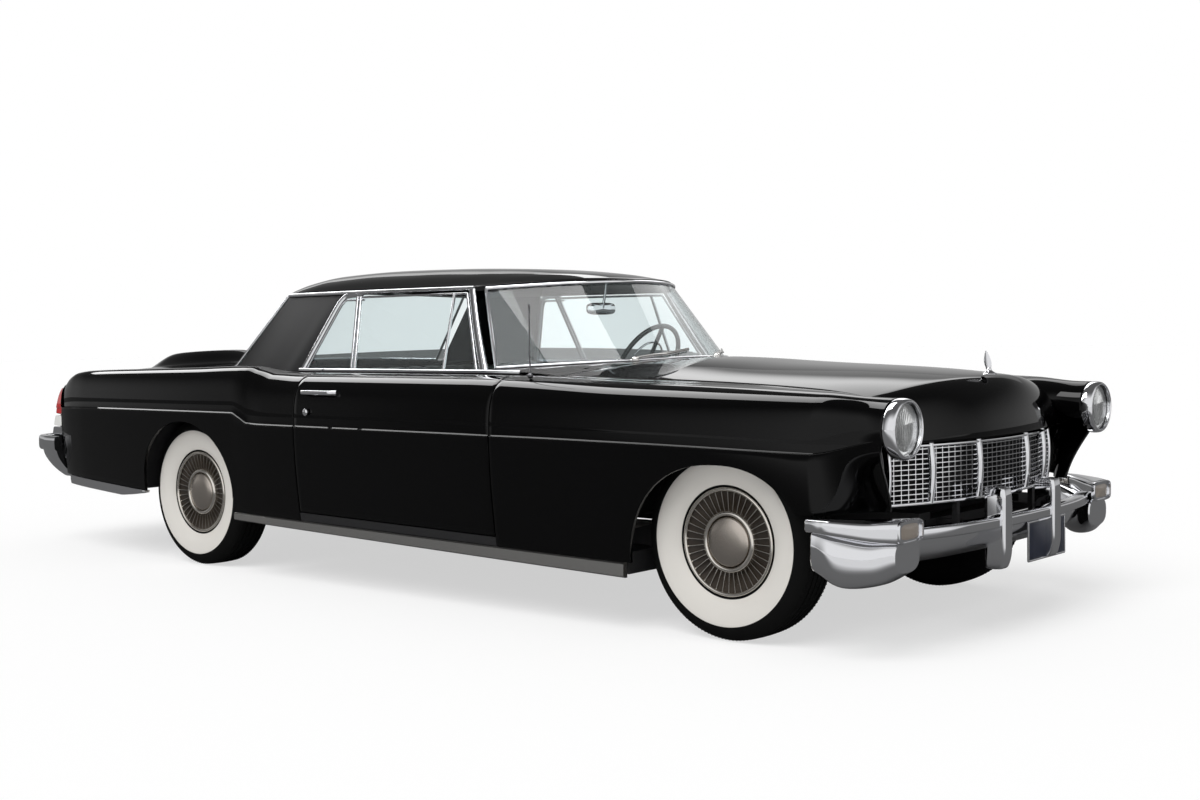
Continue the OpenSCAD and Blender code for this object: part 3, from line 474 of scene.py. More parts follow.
def side_grid(xs: Values, lows: Values) -> np.ndarray:
    """Right body side.

    Args:
        xs: places along the car.
        lows: height of the lower edge at each place.
    Returns:
        Points by place and row, in millimetres.
    """
    x = np.asarray(xs, float)[:, None]
    low = np.asarray(lows, float)[:, None]
    sw, cz = side_w(x), crease_z(x)
    crown_w, crown_z = HALF_W - CROWN_IN_AT(x), BELT + CROWN_UP_AT(x)
    z_low = low + (cz - 8 - low) * LOW_T
    c, s = np.cos(UP_T * math.pi / 2), np.sin(UP_T * math.pi / 2)
    w = np.concatenate([
        lower_w(x, z_low), sw - NOSE_IN, lerp(crown_w, sw - LEDGE_IN, c ** (2 / 3)),
        lerp(crown_w, gap_w(x), IN_T)], axis=1)
    z = np.concatenate([
        z_low, cz - NOSE_DOWN, lerp(cz + LEDGE_UP, crown_z, s ** (2 / 3)),
        lerp(crown_z, gap_z(x), IN_T ** 2)], axis=1)
    k = smooth(LAMP_X - 270, LAMP_X - 20, x)
    f = LAMP_SHARE[None, :]
    a = np.radians(LAMP_DEG)[None, :]
    w = lerp(lerp(w, np.minimum(w, 700), k * (1 - f)), LAMP_Y + LAMP_R * np.cos(a), k * f)
    z = lerp(z, LAMP_Z + LAMP_R * np.sin(a), k * f)
    return np.stack([x - 70 * k * (1 - f), -w, z], axis=2)


def bow(v: Values) -> Values:
    """Plan curve of the big windows: 1 in the middle, 0 at the ends."""
    return 1 - np.abs(v) ** 2.2


def stacked(x: Values, y: Values, z: Values) -> np.ndarray:
    """Points from coordinates that may have different shapes."""
    return np.stack(np.broadcast_arrays(x, y, z), axis=-1).astype(float)


def window_edge(x: float, reach: float, inset: float, z: float,
                drop: float) -> Callable[[Values], np.ndarray]:
    """Upper or lower edge of a big window.

    Args:
        x: its ends along the car.
        reach: how far its middle is bowed forward.
        inset: of its ends from the half width.
        z: height of its middle.
        drop: how far its ends lie lower.
    Returns:
        A function that gives points for places across, -1 to 1.
    """
    def edge(v: Values) -> np.ndarray:
        """Points of the edge."""
        return stacked(x + reach * bow(v), (HALF_W - inset) * v, z - drop * v * v)

    return edge


screen_base = window_edge(DOOR_FRONT - 210, 470, 208, BELT + 46, 28)
screen_top = window_edge(DOOR_FRONT - 375, 350, 334, HEIGHT - 92, 28)
back_base = window_edge(REAR_AXLE + 130, -350, 284, BELT + 33, 18)
back_top = window_edge(REAR_AXLE + 445, -290, 376, HEIGHT - 90, 26)


def roof_point(s: Values, v: Values) -> np.ndarray:
    """Roof surface; s runs from front to rear, v across.

    Args:
        s: place from front to rear, 0 to 1.
        v: place across, -1 to 1.
    Returns:
        Points, in millimetres.
    """
    f, r = screen_top(v), back_top(v)
    c = lerp(screen_top(np.array(0.0))[0] - 12, back_top(np.array(0.0))[0] + 12, s)
    x = lerp(f[..., 0] - 12, r[..., 0] + 12, s)
    y = lerp(f[..., 1], r[..., 1], s) + 36 * np.sin(np.pi * s) * v
    return stacked(x, y, ROOF_EDGE_Z + (ROOF_AT(c) - ROOF_EDGE_Z) * (1 - np.abs(v) ** 3))


def drip(x: Values) -> np.ndarray:
    """Middle of the drip moulding along the roof's right edge.

    Args:
        x: place along the car.
    Returns:
        Points, in millimetres.
    """
    edge = np.array(-1.0)
    a, b = roof_point(0.0, edge)[0], roof_point(1.0, edge)[0]
    return roof_point((a - np.asarray(x, float)) / (a - b), edge) - np.array([0, 6.6, 6])


def pillar_x(z: Values) -> Values:
    """Front edge of the rear pillar."""
    return lerp(DOOR_REAR - 165, DOOR_REAR - 5, (z - BELT) / (SIDE_TOP_Z - BELT))


def glass_w(z: Values) -> Values:
    """Half width of the side glass."""
    return HALF_W - 199 - 120 * (z - BELT) / (SIDE_TOP_Z - BELT)


def hood_point(u: Values, v: Values) -> np.ndarray:
    """Hood surface; u runs from the rear edge over the nose, v across.

    Args:
        u: place from the rear edge to the nose, 0 to 1, and over it, 1 to 2.
        v: place across, -1 to 1.
    Returns:
        Points, in millimetres.
    """
    turn = 110.0
    rear, front = DOOR_FRONT + 175 + 220 * bow(v), FRONT_AXLE + 690 - 105 * v * v
    over = np.radians(90 * np.clip(u - 1, 0, 1))
    x = np.where(u <= 1, lerp(rear, front - turn, np.minimum(u, 1)), front - turn * (1 - np.sin(over)))
    z = lerp(HOOD_AT(x), gap_z(np.minimum(x, LAMP_X)), np.abs(v) ** 2.4)
    y = (gap_w(np.minimum(x, FRONT_AXLE + 560)) - GAP) * v
    return stacked(x, y, np.where(u <= 1, z, lerp(GRILLE_TOP + 8, z, np.cos(over))))


def boot_point(s: Values, v: Values) -> np.ndarray:
    """Boot lid surface with the raised disc; s runs rearward, v across.

    Args:
        s: place from front to rear, 0 to 1.
        v: place across, -1 to 1.
    Returns:
        Points, in millimetres.
    """
    x, middle = lerp(BOOT_FRONT, -2662 + 90 * v * v, s), lerp(BOOT_FRONT, -2662.0, s)
    held = np.maximum(x, TAIL_X)
    y = (gap_w(held) - GAP) * v
    top = BOOT_AT(middle)
    z = lerp(top, np.minimum(top, gap_z(held)), np.abs(v) ** 2.6)
    disc = 74 * (1 - smooth(0.5, 1.0, np.hypot(x - REAR_AXLE + 1085, y) / 385))
    return stacked(x, y, z + disc * smooth(-2662, -2480, middle))


def shoulder_w(x: Values, z: Values) -> Values:
    """Half width of the shoulder, between the crease and the crown, at a height.

    Args:
        x: place along the car.
        z: height.
    Returns:
        Distance from the middle plane.
    """
    cz, top = crease_z(x), BELT + CROWN_UP_AT(x)
    s = np.clip((z - cz) / (top - cz), 0, 1) ** 1.5
    return lerp(HALF_W - CROWN_IN_AT(x), side_w(x), (1 - s * s) ** (1 / 3))


def grille_x(y: Values) -> Values:
    """Plan curve of the grille's face."""
    return GRILLE_X - GRILLE_R + np.sqrt(GRILLE_R ** 2 - np.asarray(y, float) ** 2)


def unit(rows: np.ndarray) -> np.ndarray:
    """Vectors scaled to length 1."""
    return rows / np.maximum(np.linalg.norm(rows, axis=-1, keepdims=True), TINY)


def outward(grid: np.ndarray, hint: Sequence[float]) -> np.ndarray:
    """Unit normals of a grid, turned so that they follow the hint on the whole."""
    n = unit(np.cross(np.gradient(grid, axis=0), np.gradient(grid, axis=1)))
    return n if float((n @ np.asarray(hint, float)).sum()) > 0 else -n


def rolled(grid: np.ndarray, n: np.ndarray, radius: float) -> tuple[np.ndarray, np.ndarray]:
    """Grid whose edges are rounded over, and its normals.

    Args:
        grid: points by row and column.
        n: outward normals.
        radius: radius of the rounded edge.
    Returns:
        The larger grid and normals to match.
    """
    for axis in (0, 1):
        g, m = np.moveaxis(grid, axis, 0), np.moveaxis(n, axis, 0)
        first, last = unit(g[1] - g[0]), unit(g[-2] - g[-1])
        turn = 1 - math.sqrt(0.5)
        g = np.concatenate([
            [g[0] - radius * m[0], g[0] + radius * turn * (first - m[0]), g[0] + radius * first],
            g[1:-1],
            [g[-1] + radius * last, g[-1] + radius * turn * (last - m[-1]), g[-1] - radius * m[-1]]])
        m = np.concatenate([[m[0], m[0], m[0]], m[1:-1], [m[-1], m[-1], m[-1]]])
        grid, n = np.moveaxis(g, 0, axis), np.moveaxis(m, 0, axis)
    return grid, n


def smooth_path(points: Sequence[Sequence[float]], steps: int) -> np.ndarray:
    """Rounded line through points.

    Args:
        points: rows of coordinates.
        steps: steps between two points.
    Returns:
        Points of a Catmull-Rom curve through them.
    """
    p = np.asarray(points, float)
    ends = np.concatenate([[2 * p[0] - p[1]], p, [2 * p[-1] - p[-2]]])
    out = []
    for i in range(len(p) - 1):
        a, b, c, d = ends[i:i + 4]
        for t in np.arange(steps) / steps:
            out.append(0.5 * (2 * b + (c - a) * t + (2 * a - 5 * b + 4 * c - d) * t ** 2
                              + (3 * b - a - 3 * c + d) * t ** 3))
    out.append(p[-1])
    return np.array(out)


def oval(width: float, height: float, count: int = 40, power: float = 3.0) -> np.ndarray:
    """Rounded outline about its middle."""
    a = np.linspace(0, 2 * np.pi, count, endpoint=False)
    return np.stack([width / 2 * spow(np.cos(a), 2 / power), height / 2 * spow(np.sin(a), 2 / power)], axis=1)


def both_sides(half: np.ndarray) -> np.ndarray:
    """Path over the middle plane from its right half, which ends at the middle."""
    other = half[::-1][1:] * np.array([1, -1, 1])
    return np.concatenate([half, other])


def lens_rings(width: float, height: float, bulge: float, power: float = 4.0) -> np.ndarray:
    """Rings of a bulged lens that faces +X, centred on the origin.

    Args:
        width, height: size of its outline.
        bulge: how far the middle stands out.
        power: squareness of the outline.
    Returns:
        Points by ring.
    """
    scale = np.sqrt(np.linspace(1, 0.0004, 9))
    q = oval(width, height, 48, power)
    return np.stack([stacked(bulge * (1 - s * s), q[:, 0] * s, q[:, 1] * s) for s in scale])


def lens_turn(foot: np.ndarray, radius: float, height: float) -> np.ndarray:
    """Rings of a rounded button that stands up from its foot.

    Args:
        foot: middle of its foot.
        radius, height: its size.
    Returns:
        Points by ring.
    """
    a = np.linspace(0, 2 * np.pi, 28, endpoint=False)
    t = np.linspace(0, 1, 9)
    r = radius * np.sqrt(np.maximum(1 - t ** 2.5, 0.0004))
    return np.stack([
        stacked(foot[0] + s * np.cos(a), foot[1] + s * np.sin(a), foot[2] + height * h)
        for s, h in zip(r, t)])


def quads(n: int, m: int, round_n: bool = False, round_m: bool = False) -> list[tuple[int, ...]]:
    """Faces of a grid of points.

    Args:
        n, m: its rows and columns.
        round_n, round_m: whether the last row or column meets the first.
    Returns:
        Corners by number, counted row by row.
    """
    faces = []
    for i in range(n if round_n else n - 1):
        e = (i + 1) % n
        for j in range(m if round_m else m - 1):
            b = (j + 1) % m
            faces.append((i * m + j, e * m + j, e * m + b, i * m + b))
    return faces


class Draft:
    """Points and faces of one piece, in millimetres."""

    def __init__(self) -> None:
        """Starts empty."""
        self.points: list[np.ndarray] = []
        self.faces: list[tuple[int, ...]] = []
        self.count = 0

    def add(self, points: np.ndarray, faces: Iterable[Sequence[int]]) -> "Draft":
        """Adds points with faces that count from the first of them.

        Args:
            points: rows of coordinates.
            faces: corners by number.
        Returns:
            This draft.
        """
        base = self.count
        points = np.asarray(points, float).reshape(-1, 3)
        self.points.append(points)
        self.count += len(points)
        self.faces.extend(tuple(base + int(i) for i in f) for f in faces)
        return self

    def slab(self, outer: np.ndarray, inner: np.ndarray) -> "Draft":
        """Adds the solid between two grids of equal shape.

        Args:
            outer, inner: points by row and column.
        Returns:
            This draft.
        """
        n, m = outer.shape[:2]
        k = n * m
        faces = []
        for a, b, c, d in quads(n, m):
            faces += [(a, b, c, d), (a + k, d + k, c + k, b + k)]
        rim = list(range(m)) + [i * m + m - 1 for i in range(1, n)]
        rim += [(n - 1) * m + j for j in range(m - 2, -1, -1)] + [i * m for i in range(n - 2, 0, -1)]
        for a, b in zip(rim, rim[1:] + rim[:1]):
            faces.append((a, b, b + k, a + k))
        return self.add(np.concatenate([outer.reshape(-1, 3), inner.reshape(-1, 3)]), faces)

    def panel(self, grid: np.ndarray, hint: Sequence[float], thickness: float = SKIN,
              radius: float = EDGE_R) -> "Draft":
        """Adds a sheet with rounded edges whose outer face is the grid.

        Args:
            grid: points by row and column.
            hint: rough direction of its outer face.
            thickness: of the sheet.
            radius: of its edges.
        Returns:
            This draft.
        """
        n = outward(grid, hint)
        face, _ = rolled(grid, n, radius)
        plain, out = rolled(grid, n, 0.001)
        return self.slab(face, plain - thickness * out)

    def loft(self, rings: np.ndarray, caps: bool = True) -> "Draft":
        """Adds a skin over closed rings, by ring and point.

        Args:
            rings: points by ring.
            caps: whether both ends are closed.
        Returns:
            This draft.
        """
        n, m = rings.shape[:2]
        faces = quads(n, m, round_m=True)
        if caps:
            faces.append(tuple(range(m)))
            faces.append(tuple((n - 1) * m + j for j in reversed(range(m))))
        return self.add(rings.reshape(-1, 3), faces)

    def sweep(self, path: np.ndarray, profile: np.ndarray) -> "Draft":
        """Adds a profile of outward and upward offsets swept along a plan path.

        Args:
            path: points along the way.
            profile: rows of outward and upward offset.
        Returns:
            This draft.
        """
        d = unit(np.gradient(path[:, :2], axis=0))
        rings = np.empty((len(path), len(profile), 3))
        rings[:, :, 0] = path[:, None, 0] + d[:, None, 1] * profile[None, :, 0]
        rings[:, :, 1] = path[:, None, 1] - d[:, None, 0] * profile[None, :, 0]
        rings[:, :, 2] = path[:, None, 2] + profile[None, :, 1]
        return self.loft(rings)

    def rail(self, path: np.ndarray, width: float, height: float, count: int = 14,
             up: Sequence[float] = (0, 0, 1)) -> "Draft":
        """Adds a rounded bar along a path.

        Args:
            path: points along its middle.
            width, height: its section.
            count: points around it.
            up: direction of the section's height.
        Returns:
            This draft.
        """
        d = unit(np.gradient(path, axis=0))
        u = unit(np.cross(d, np.asarray(up, float)))
        v = np.cross(u, d)
        q = oval(width, height, count)
        rings = path[:, None] + u[:, None] * q[None, :, :1] + v[:, None] * q[None, :, 1:]
        return self.loft(rings)

    def lathe(self, profile: Sequence[Sequence[float]], centre: Sequence[float], axis: str,
              steps: int = 64) -> "Draft":
        """Adds a closed turned form.

        Args:
            profile: closed outline of radius and place along the axis.
            centre: point on the axis.
            axis: "x" for +X, "y" for -Y.
            steps: steps around.
        Returns:
            This draft.
        """
        p = np.asarray(profile, float)
        a = np.linspace(0, 2 * np.pi, steps, endpoint=False)[:, None]
        r, h = np.maximum(p[None, :, 0], 0.01), p[None, :, 1] + 0 * a
        if axis == "x":
            ring = np.stack([h, r * np.cos(a), r * np.sin(a)], axis=2)
        else:
            ring = np.stack([r * np.cos(a), -h, r * np.sin(a)], axis=2)
        return self.add(ring.reshape(-1, 3) + np.asarray(centre, float), quads(*ring.shape[:2], True, True))

    def prism(self, outline: Sequence[Sequence[float]], y0: float, y1: float) -> "Draft":
        """Adds a profile of x and height spread from y0 to y1.

        Args:
            outline: rows of x and height.
            y0, y1: its ends across.
        Returns:
            This draft.
        """
        q = np.asarray(outline, float)
        m = len(q)
        ring = [np.stack([q[:, 0], np.full(m, y), q[:, 1]], axis=1) for y in (y0, y1)]
        return self.loft(np.array(ring))

    def box(self, low: Sequence[float], high: Sequence[float]) -> "Draft":
        """Adds a box by its corners."""
        a, b = low, high
        return self.prism([(a[0], a[2]), (b[0], a[2]), (b[0], b[2]), (a[0], b[2])], a[1], b[1])

    def mirrored(self) -> "Draft":
        """Copy on the other side of the middle plane."""
        other = Draft()
        for block in self.points:
            other.points.append(block * np.array([1, -1, 1]))
        other.count = self.count
        other.faces = [tuple(reversed(f)) for f in self.faces]
        return other

    def join(self, other: "Draft") -> "Draft":
        """Adds another draft."""
        return self.add(np.concatenate(other.points), other.faces)

    def with_mirror(self) -> "Draft":
        """Adds this draft's own mirror image."""
        return self.join(self.mirrored())

    def on(self, side: Side) -> "Draft":
        """This draft, drawn for the right, on the side wanted."""
        return self if side is Side.RIGHT else self.mirrored()

    def build(self, name: str, material: bpy.types.Material, angle: float = SHARP) -> bpy.types.Object:
        """Makes the object.

        Args:
            name: piece name.
            material: its finish.
            angle: edges sharper than this stay sharp, in degrees.
        Returns:
            The object, at the origin and in the scene.
        """
        mesh = bpy.data.meshes.new(name)
        mesh.from_pydata((np.concatenate(self.points) * MM).tolist(), [], self.faces)
        work = bmesh.new()
        work.from_mesh(mesh)
        bmesh.ops.remove_doubles(work, verts=work.verts, dist=1e-6)
        bmesh.ops.dissolve_degenerate(work, edges=work.edges, dist=1e-6)
        bmesh.ops.recalc_face_normals(work, faces=work.faces)
        work.to_mesh(mesh)
        work.free()
        mesh.shade_smooth()
        mesh.set_sharp_from_angle(angle=math.radians(angle))
        mesh.materials.append(material)
        obj = bpy.data.objects.new(name, mesh)
        bpy.context.scene.collection.objects.link(obj)
        return obj


@dataclass
class Kit:
    """What every sub-assembly needs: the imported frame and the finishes."""

    frame: dict
    shop: FinishShop = field(default_factory=FinishShop)

    def place(self, obj: bpy.types.Object, body: str, nodes: Sequence[str] = (),
              slot: Optional[str] = None) -> bpy.types.Object:
        """Seats a piece on its body.

        Args:
            obj: the piece.
            body: CAD body that it rides on.
            nodes: CAD nodes that it stands for.
            slot: not used.
        Returns:
            The piece.
        """
        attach(obj, body)
        if nodes:
            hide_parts(*nodes)
        LOG.info("piece %s on %s: %d faces", obj.name, body, len(obj.data.polygons))
        return obj

    def make(self, draft: Draft, name: str, finish: Finish, body: str, nodes: Sequence[str] = (),
             slot: Optional[str] = None, angle: float = SHARP) -> bpy.types.Object:
        """Builds a draft and seats it; the arguments are those of build and place."""
        return self.place(draft.build(name, self.shop.get(finish), angle), body, nodes, slot)

    def painted(self, draft: Draft, name: str, node: str, body: str = "body") -> bpy.types.Object:
        """Builds a painted panel that stands for a node; the arguments are those of make."""
        return self.make(draft, name, PAINT, body, [node], "body_paint")

    def bright(self, draft: Draft, name: str, body: str = "body", finish: Finish = CHROME,
               angle: float = SHARP) -> bpy.types.Object:
        """Builds a bright part that stands for no node; the arguments are those of make."""
        return self.make(draft, name, finish, body, (), "bright_chrome", angle)


@dataclass
class CadDress:
    """Finishes for the CAD nodes that stay in view."""

    kit: Kit

    def dress(self) -> None:
        """Gives each listed node its finish."""
        for name, finish in NODE_FINISH.items():
            slots = self.kit.frame["nodes"][name].data.materials
            slots.clear()
            slots.append(self.kit.shop.get(finish))


@dataclass
class BodyShell:
    """Painted panels, remade smoothly."""

    kit: Kit
    hood_pivot: tuple[float, float] = (DOOR_FRONT + 75, BELT - 27)
    boot_pivot: tuple[float, float] = (BOOT_FRONT + 200, BELT - 32)

    def build(self) -> None:
        """Makes every painted panel."""
        for side in Side:
            self._fender(side)
            self._quarter(side)
            self._door(side)
        self._hood()
        self._boot()
        self._roof()
        self._sails()
        self._wheelhouses()

    def _fender(self, side: Side) -> None:
        """Front fender, from the door to the headlamp.

        Args:
            side: the side wanted.
        """
        x0 = np.linspace(DOOR_FRONT + GAP / 2, FRONT_AXLE - 372, 40)
        xa, za = front_arch(np.linspace(176, 11, 84))
        x1 = np.linspace(FRONT_AXLE + 437, LAMP_X - 18, 56)
        lows = np.concatenate([
            sill_z(x0), np.maximum(za, np.where(xa > FRONT_AXLE, 495, sill_z(xa))), np.full(len(x1), 495.0)])
        grid = side_grid(np.concatenate([x0, xa, x1]), lows)
        draft = Draft().panel(grid, FLANK)
        draft.box((DOOR_FRONT + 120 + SEAT, -HALF_W + 27, 480), (DOOR_FRONT + 150, -860, 640))
        self.kit.painted(draft.on(side), f"fender_skin_{side.label}", f"front_fender_{side.label}")

    def _quarter(self, side: Side) -> None:
        """Rear quarter, from the tail to the door.

        Args:
            side: the side wanted.
        """
        x0 = np.linspace(TAIL_X, REAR_AXLE - 333, 60)
        xa, za = rear_arch(np.linspace(180, 0, 72))
        x1 = np.concatenate([[REAR_AXLE + 427, REAR_AXLE + 440],
                             np.linspace(REAR_AXLE + 455, DOOR_REAR - GAP / 2, 52)])
        grid = side_grid(np.concatenate([x0, xa, x1]), np.concatenate([tail_low(x0), za, sill_z(x1)]))
        draft = Draft().panel(grid, FLANK)
        draft.box((DOOR_REAR - 130, -HALF_W + 26, 420), (DOOR_REAR - 110 - SEAT, -860, 640))
        self.kit.painted(draft.on(side), f"quarter_skin_{side.label}", f"rear_quarter_{side.label}")

    def _door(self, side: Side) -> None:
        """Door with its thick inner side.

        Args:
            side: the side wanted.
        """
        xs = np.linspace(DOOR_REAR + GAP / 2, DOOR_FRONT - GAP / 2, 64)
        grid = side_grid(xs, sill_z(xs) + 42)
        n = outward(grid, FLANK)
        outer, plain = rolled(grid, n, EDGE_R)[0], rolled(grid, n, 0.001)[0]
        k = np.linspace(0, 1, outer.shape[1])[None, :]
        inner = stacked(
            np.maximum(plain[:, :, 0], DOOR_REAR + 43), -lerp(HALF_W - 138, HALF_W - 226, k * k),
            lerp(plain[:, :1, 2], BELT - 3, k))
        draft = Draft().slab(outer, inner)
        self.kit.painted(draft.on(side), f"door_skin_{side.label}", side.door, side.door)

    @staticmethod
    def _arm(pivot: tuple[float, float], steps: Sequence[tuple[float, float]], y: float) -> Draft:
        """Goose-neck hinge arm of a lid, as flat links on its line.

        Args:
            pivot: x and height of the hinge.
            steps: the arm's corners, from the hinge.
            y: outer face of the right arm, from the middle.
        Returns:
            The right arm.
        """
        p = np.array(steps, float) + np.array(pivot)
        d = np.diff(p, axis=0)
        n = unit(np.stack([-d[:, 1], d[:, 0]], axis=1))
        a, b = np.concatenate([n[:1], n]), np.concatenate([n, n[-1:]])
        m = 12 * (a + b) / (1 + (a * b).sum(axis=1, keepdims=True))
        return Draft().prism(np.concatenate([p - m, (p + m)[::-1]]), -y - 12, -y)

    def _hood(self) -> None:
        """Hood with its nose and hinge arms."""
        u = np.concatenate([np.linspace(0, 1, 72), 1 + np.linspace(0, 1, 27)[1:]])[:, None]
        v = np.linspace(-1, 1, 73)[None, :]
        draft = Draft().panel(hood_point(u, v), (0, 0, 1))
        steps = [(0, 0), (35, -110), (110, -150), (190, -110), (215, 30)]
        draft.join(self._arm(self.hood_pivot, steps, 606).with_mirror())
        self.kit.painted(draft, "hood_skin", "hood", "hood")

    def _boot(self) -> None:
        """Boot lid with its disc and hinge arms."""
        s, v = np.linspace(0, 1, 110)[:, None], np.linspace(-1, 1, 109)[None, :]
        draft = Draft().panel(boot_point(s, v), (0, 0, 1))
        steps = [(0, 0), (-30, -150), (-110, -215), (-200, -190), (-262, -90), (-275, 34)]
        draft.join(self._arm(self.boot_pivot, steps, 500).with_mirror())
        self.kit.painted(draft, "boot_skin", "boot_lid", "boot_lid")

    def _roof(self) -> None:
        """Roof panel."""
        s, v = np.linspace(0, 1, 70)[:, None], np.linspace(-1, 1, 81)[None, :]
        draft = Draft().panel(roof_point(s, v), (0, 0, 1), 20.0)
        self.kit.painted(draft, "roof_skin", "roof")

    def _sails(self) -> None:
        """Rear pillars, from the belt to the roof."""
        t = np.linspace(0, 1, 24)
        k = np.linspace(0, 1, 24)
        x0, x1 = lerp(pillar_x(BELT + 1), REAR_AXLE + 146, t), lerp(pillar_x(SIDE_TOP_Z), REAR_AXLE + 458, t)
        foot = stacked(x0, -gap_w(x0) - 1, gap_z(x0) + 3 * SEAT)
        head = drip(x1) - np.array([0, 0, 9 + SEAT])
        grid = lerp(foot[None], head[None], k[:, None, None])
        inner = grid + np.array([0, 1, 0]) * lerp(34, 8, k)[:, None, None]
        draft = Draft().slab(grid, inner).with_mirror()
        self.kit.make(draft, "sail_skins", SATIN, "body", ["sail_panels"], "pillar_paint")

    def _wheelhouses(self) -> None:
        """Arched liners over the rear tyres, which close the boot's sides."""
        reach, inner, outer, sheet = TYRE_R + 32, 640.0, 930.0, 4.0
        a = np.linspace(0, math.pi, 41)
        arch = [stacked(REAR_AXLE + r * np.cos(a), -y, TYRE_R + r * np.sin(a))
                for y in (inner, outer) for r in (reach, reach + sheet)]
        draft = Draft().loft(np.stack([arch[0], arch[1], arch[3], arch[2]], axis=1))
        wall = np.stack([REAR_AXLE + reach * np.cos(a), TYRE_R + reach * np.sin(a)], axis=1)
        draft.prism(wall, -inner - sheet, -inner)
        self.kit.make(draft.with_mirror(), "wheelhouse_liners", FRAME_BLACK, "body")


@dataclass
class Glazing:
    """All glass."""

    kit: Kit
    thickness: float = 6.0

    def build(self) -> None:
        """Makes the panes."""
        v = np.linspace(-0.97, 0.97, 61)
        k = np.linspace(0, 1, 13)[:, None, None]
        for name, low, high, node in (
            ("windscreen_pane", screen_base, screen_top, "windscreen"),
            ("rear_pane", back_base, back_top, "rear_window"),
        ):
            grid = lerp(low(v)[None], high(v)[None], k)
            hint = (1, 0, 0.3) if node == "windscreen" else (-1, 0, 0.3)
            n = outward(grid, hint)
            draft = Draft().slab(grid, grid - self.thickness * n)
            self.kit.make(draft, name, GLASS, "body", [node], "window_glass")
        for side in Side:
            low, high = (DOOR_REAR + 194, DOOR_FRONT - 245), (DOOR_REAR + 112, DOOR_FRONT - 412)
            door = self._pane(low, high, BELT + SEAT / 3).on(side)
            node = f"door_glass_{side.label}"
            self.kit.make(door, f"door_pane_{side.label}", GLASS, side.door, [node], "window_glass")
        low = (pillar_x(BELT + 8) + 1.5 * SEAT, DOOR_REAR + 184)
        high = (pillar_x(SIDE_TOP_Z) + 1.5 * SEAT, DOOR_REAR + 102)
        quarter = self._pane(low, high, BELT + 8).with_mirror()
        self.kit.make(quarter, "quarter_panes", GLASS, "body", ["quarter_windows"], "window_glass")

    def _pane(self, low: tuple[float, float], high: tuple[float, float], z0: float) -> Draft:
        """Flat pane in the side glass plane from its lower and upper ends.

        Args:
            low, high: rear and front end of its lower and upper edge.
            z0: height of its lower edge.
        Returns:
            The right pane.
        """
        k = np.linspace(0, 1, 2)[:, None]
        z = lerp(z0, SIDE_TOP_Z, k)
        s = np.linspace(0, 1, 2)[None, :]
        grid = stacked(lerp(lerp(low[0], low[1], s), lerp(high[0], high[1], s), k), -glass_w(z), z)
        return Draft().slab(grid, grid + np.array([0, self.thickness, 0]))


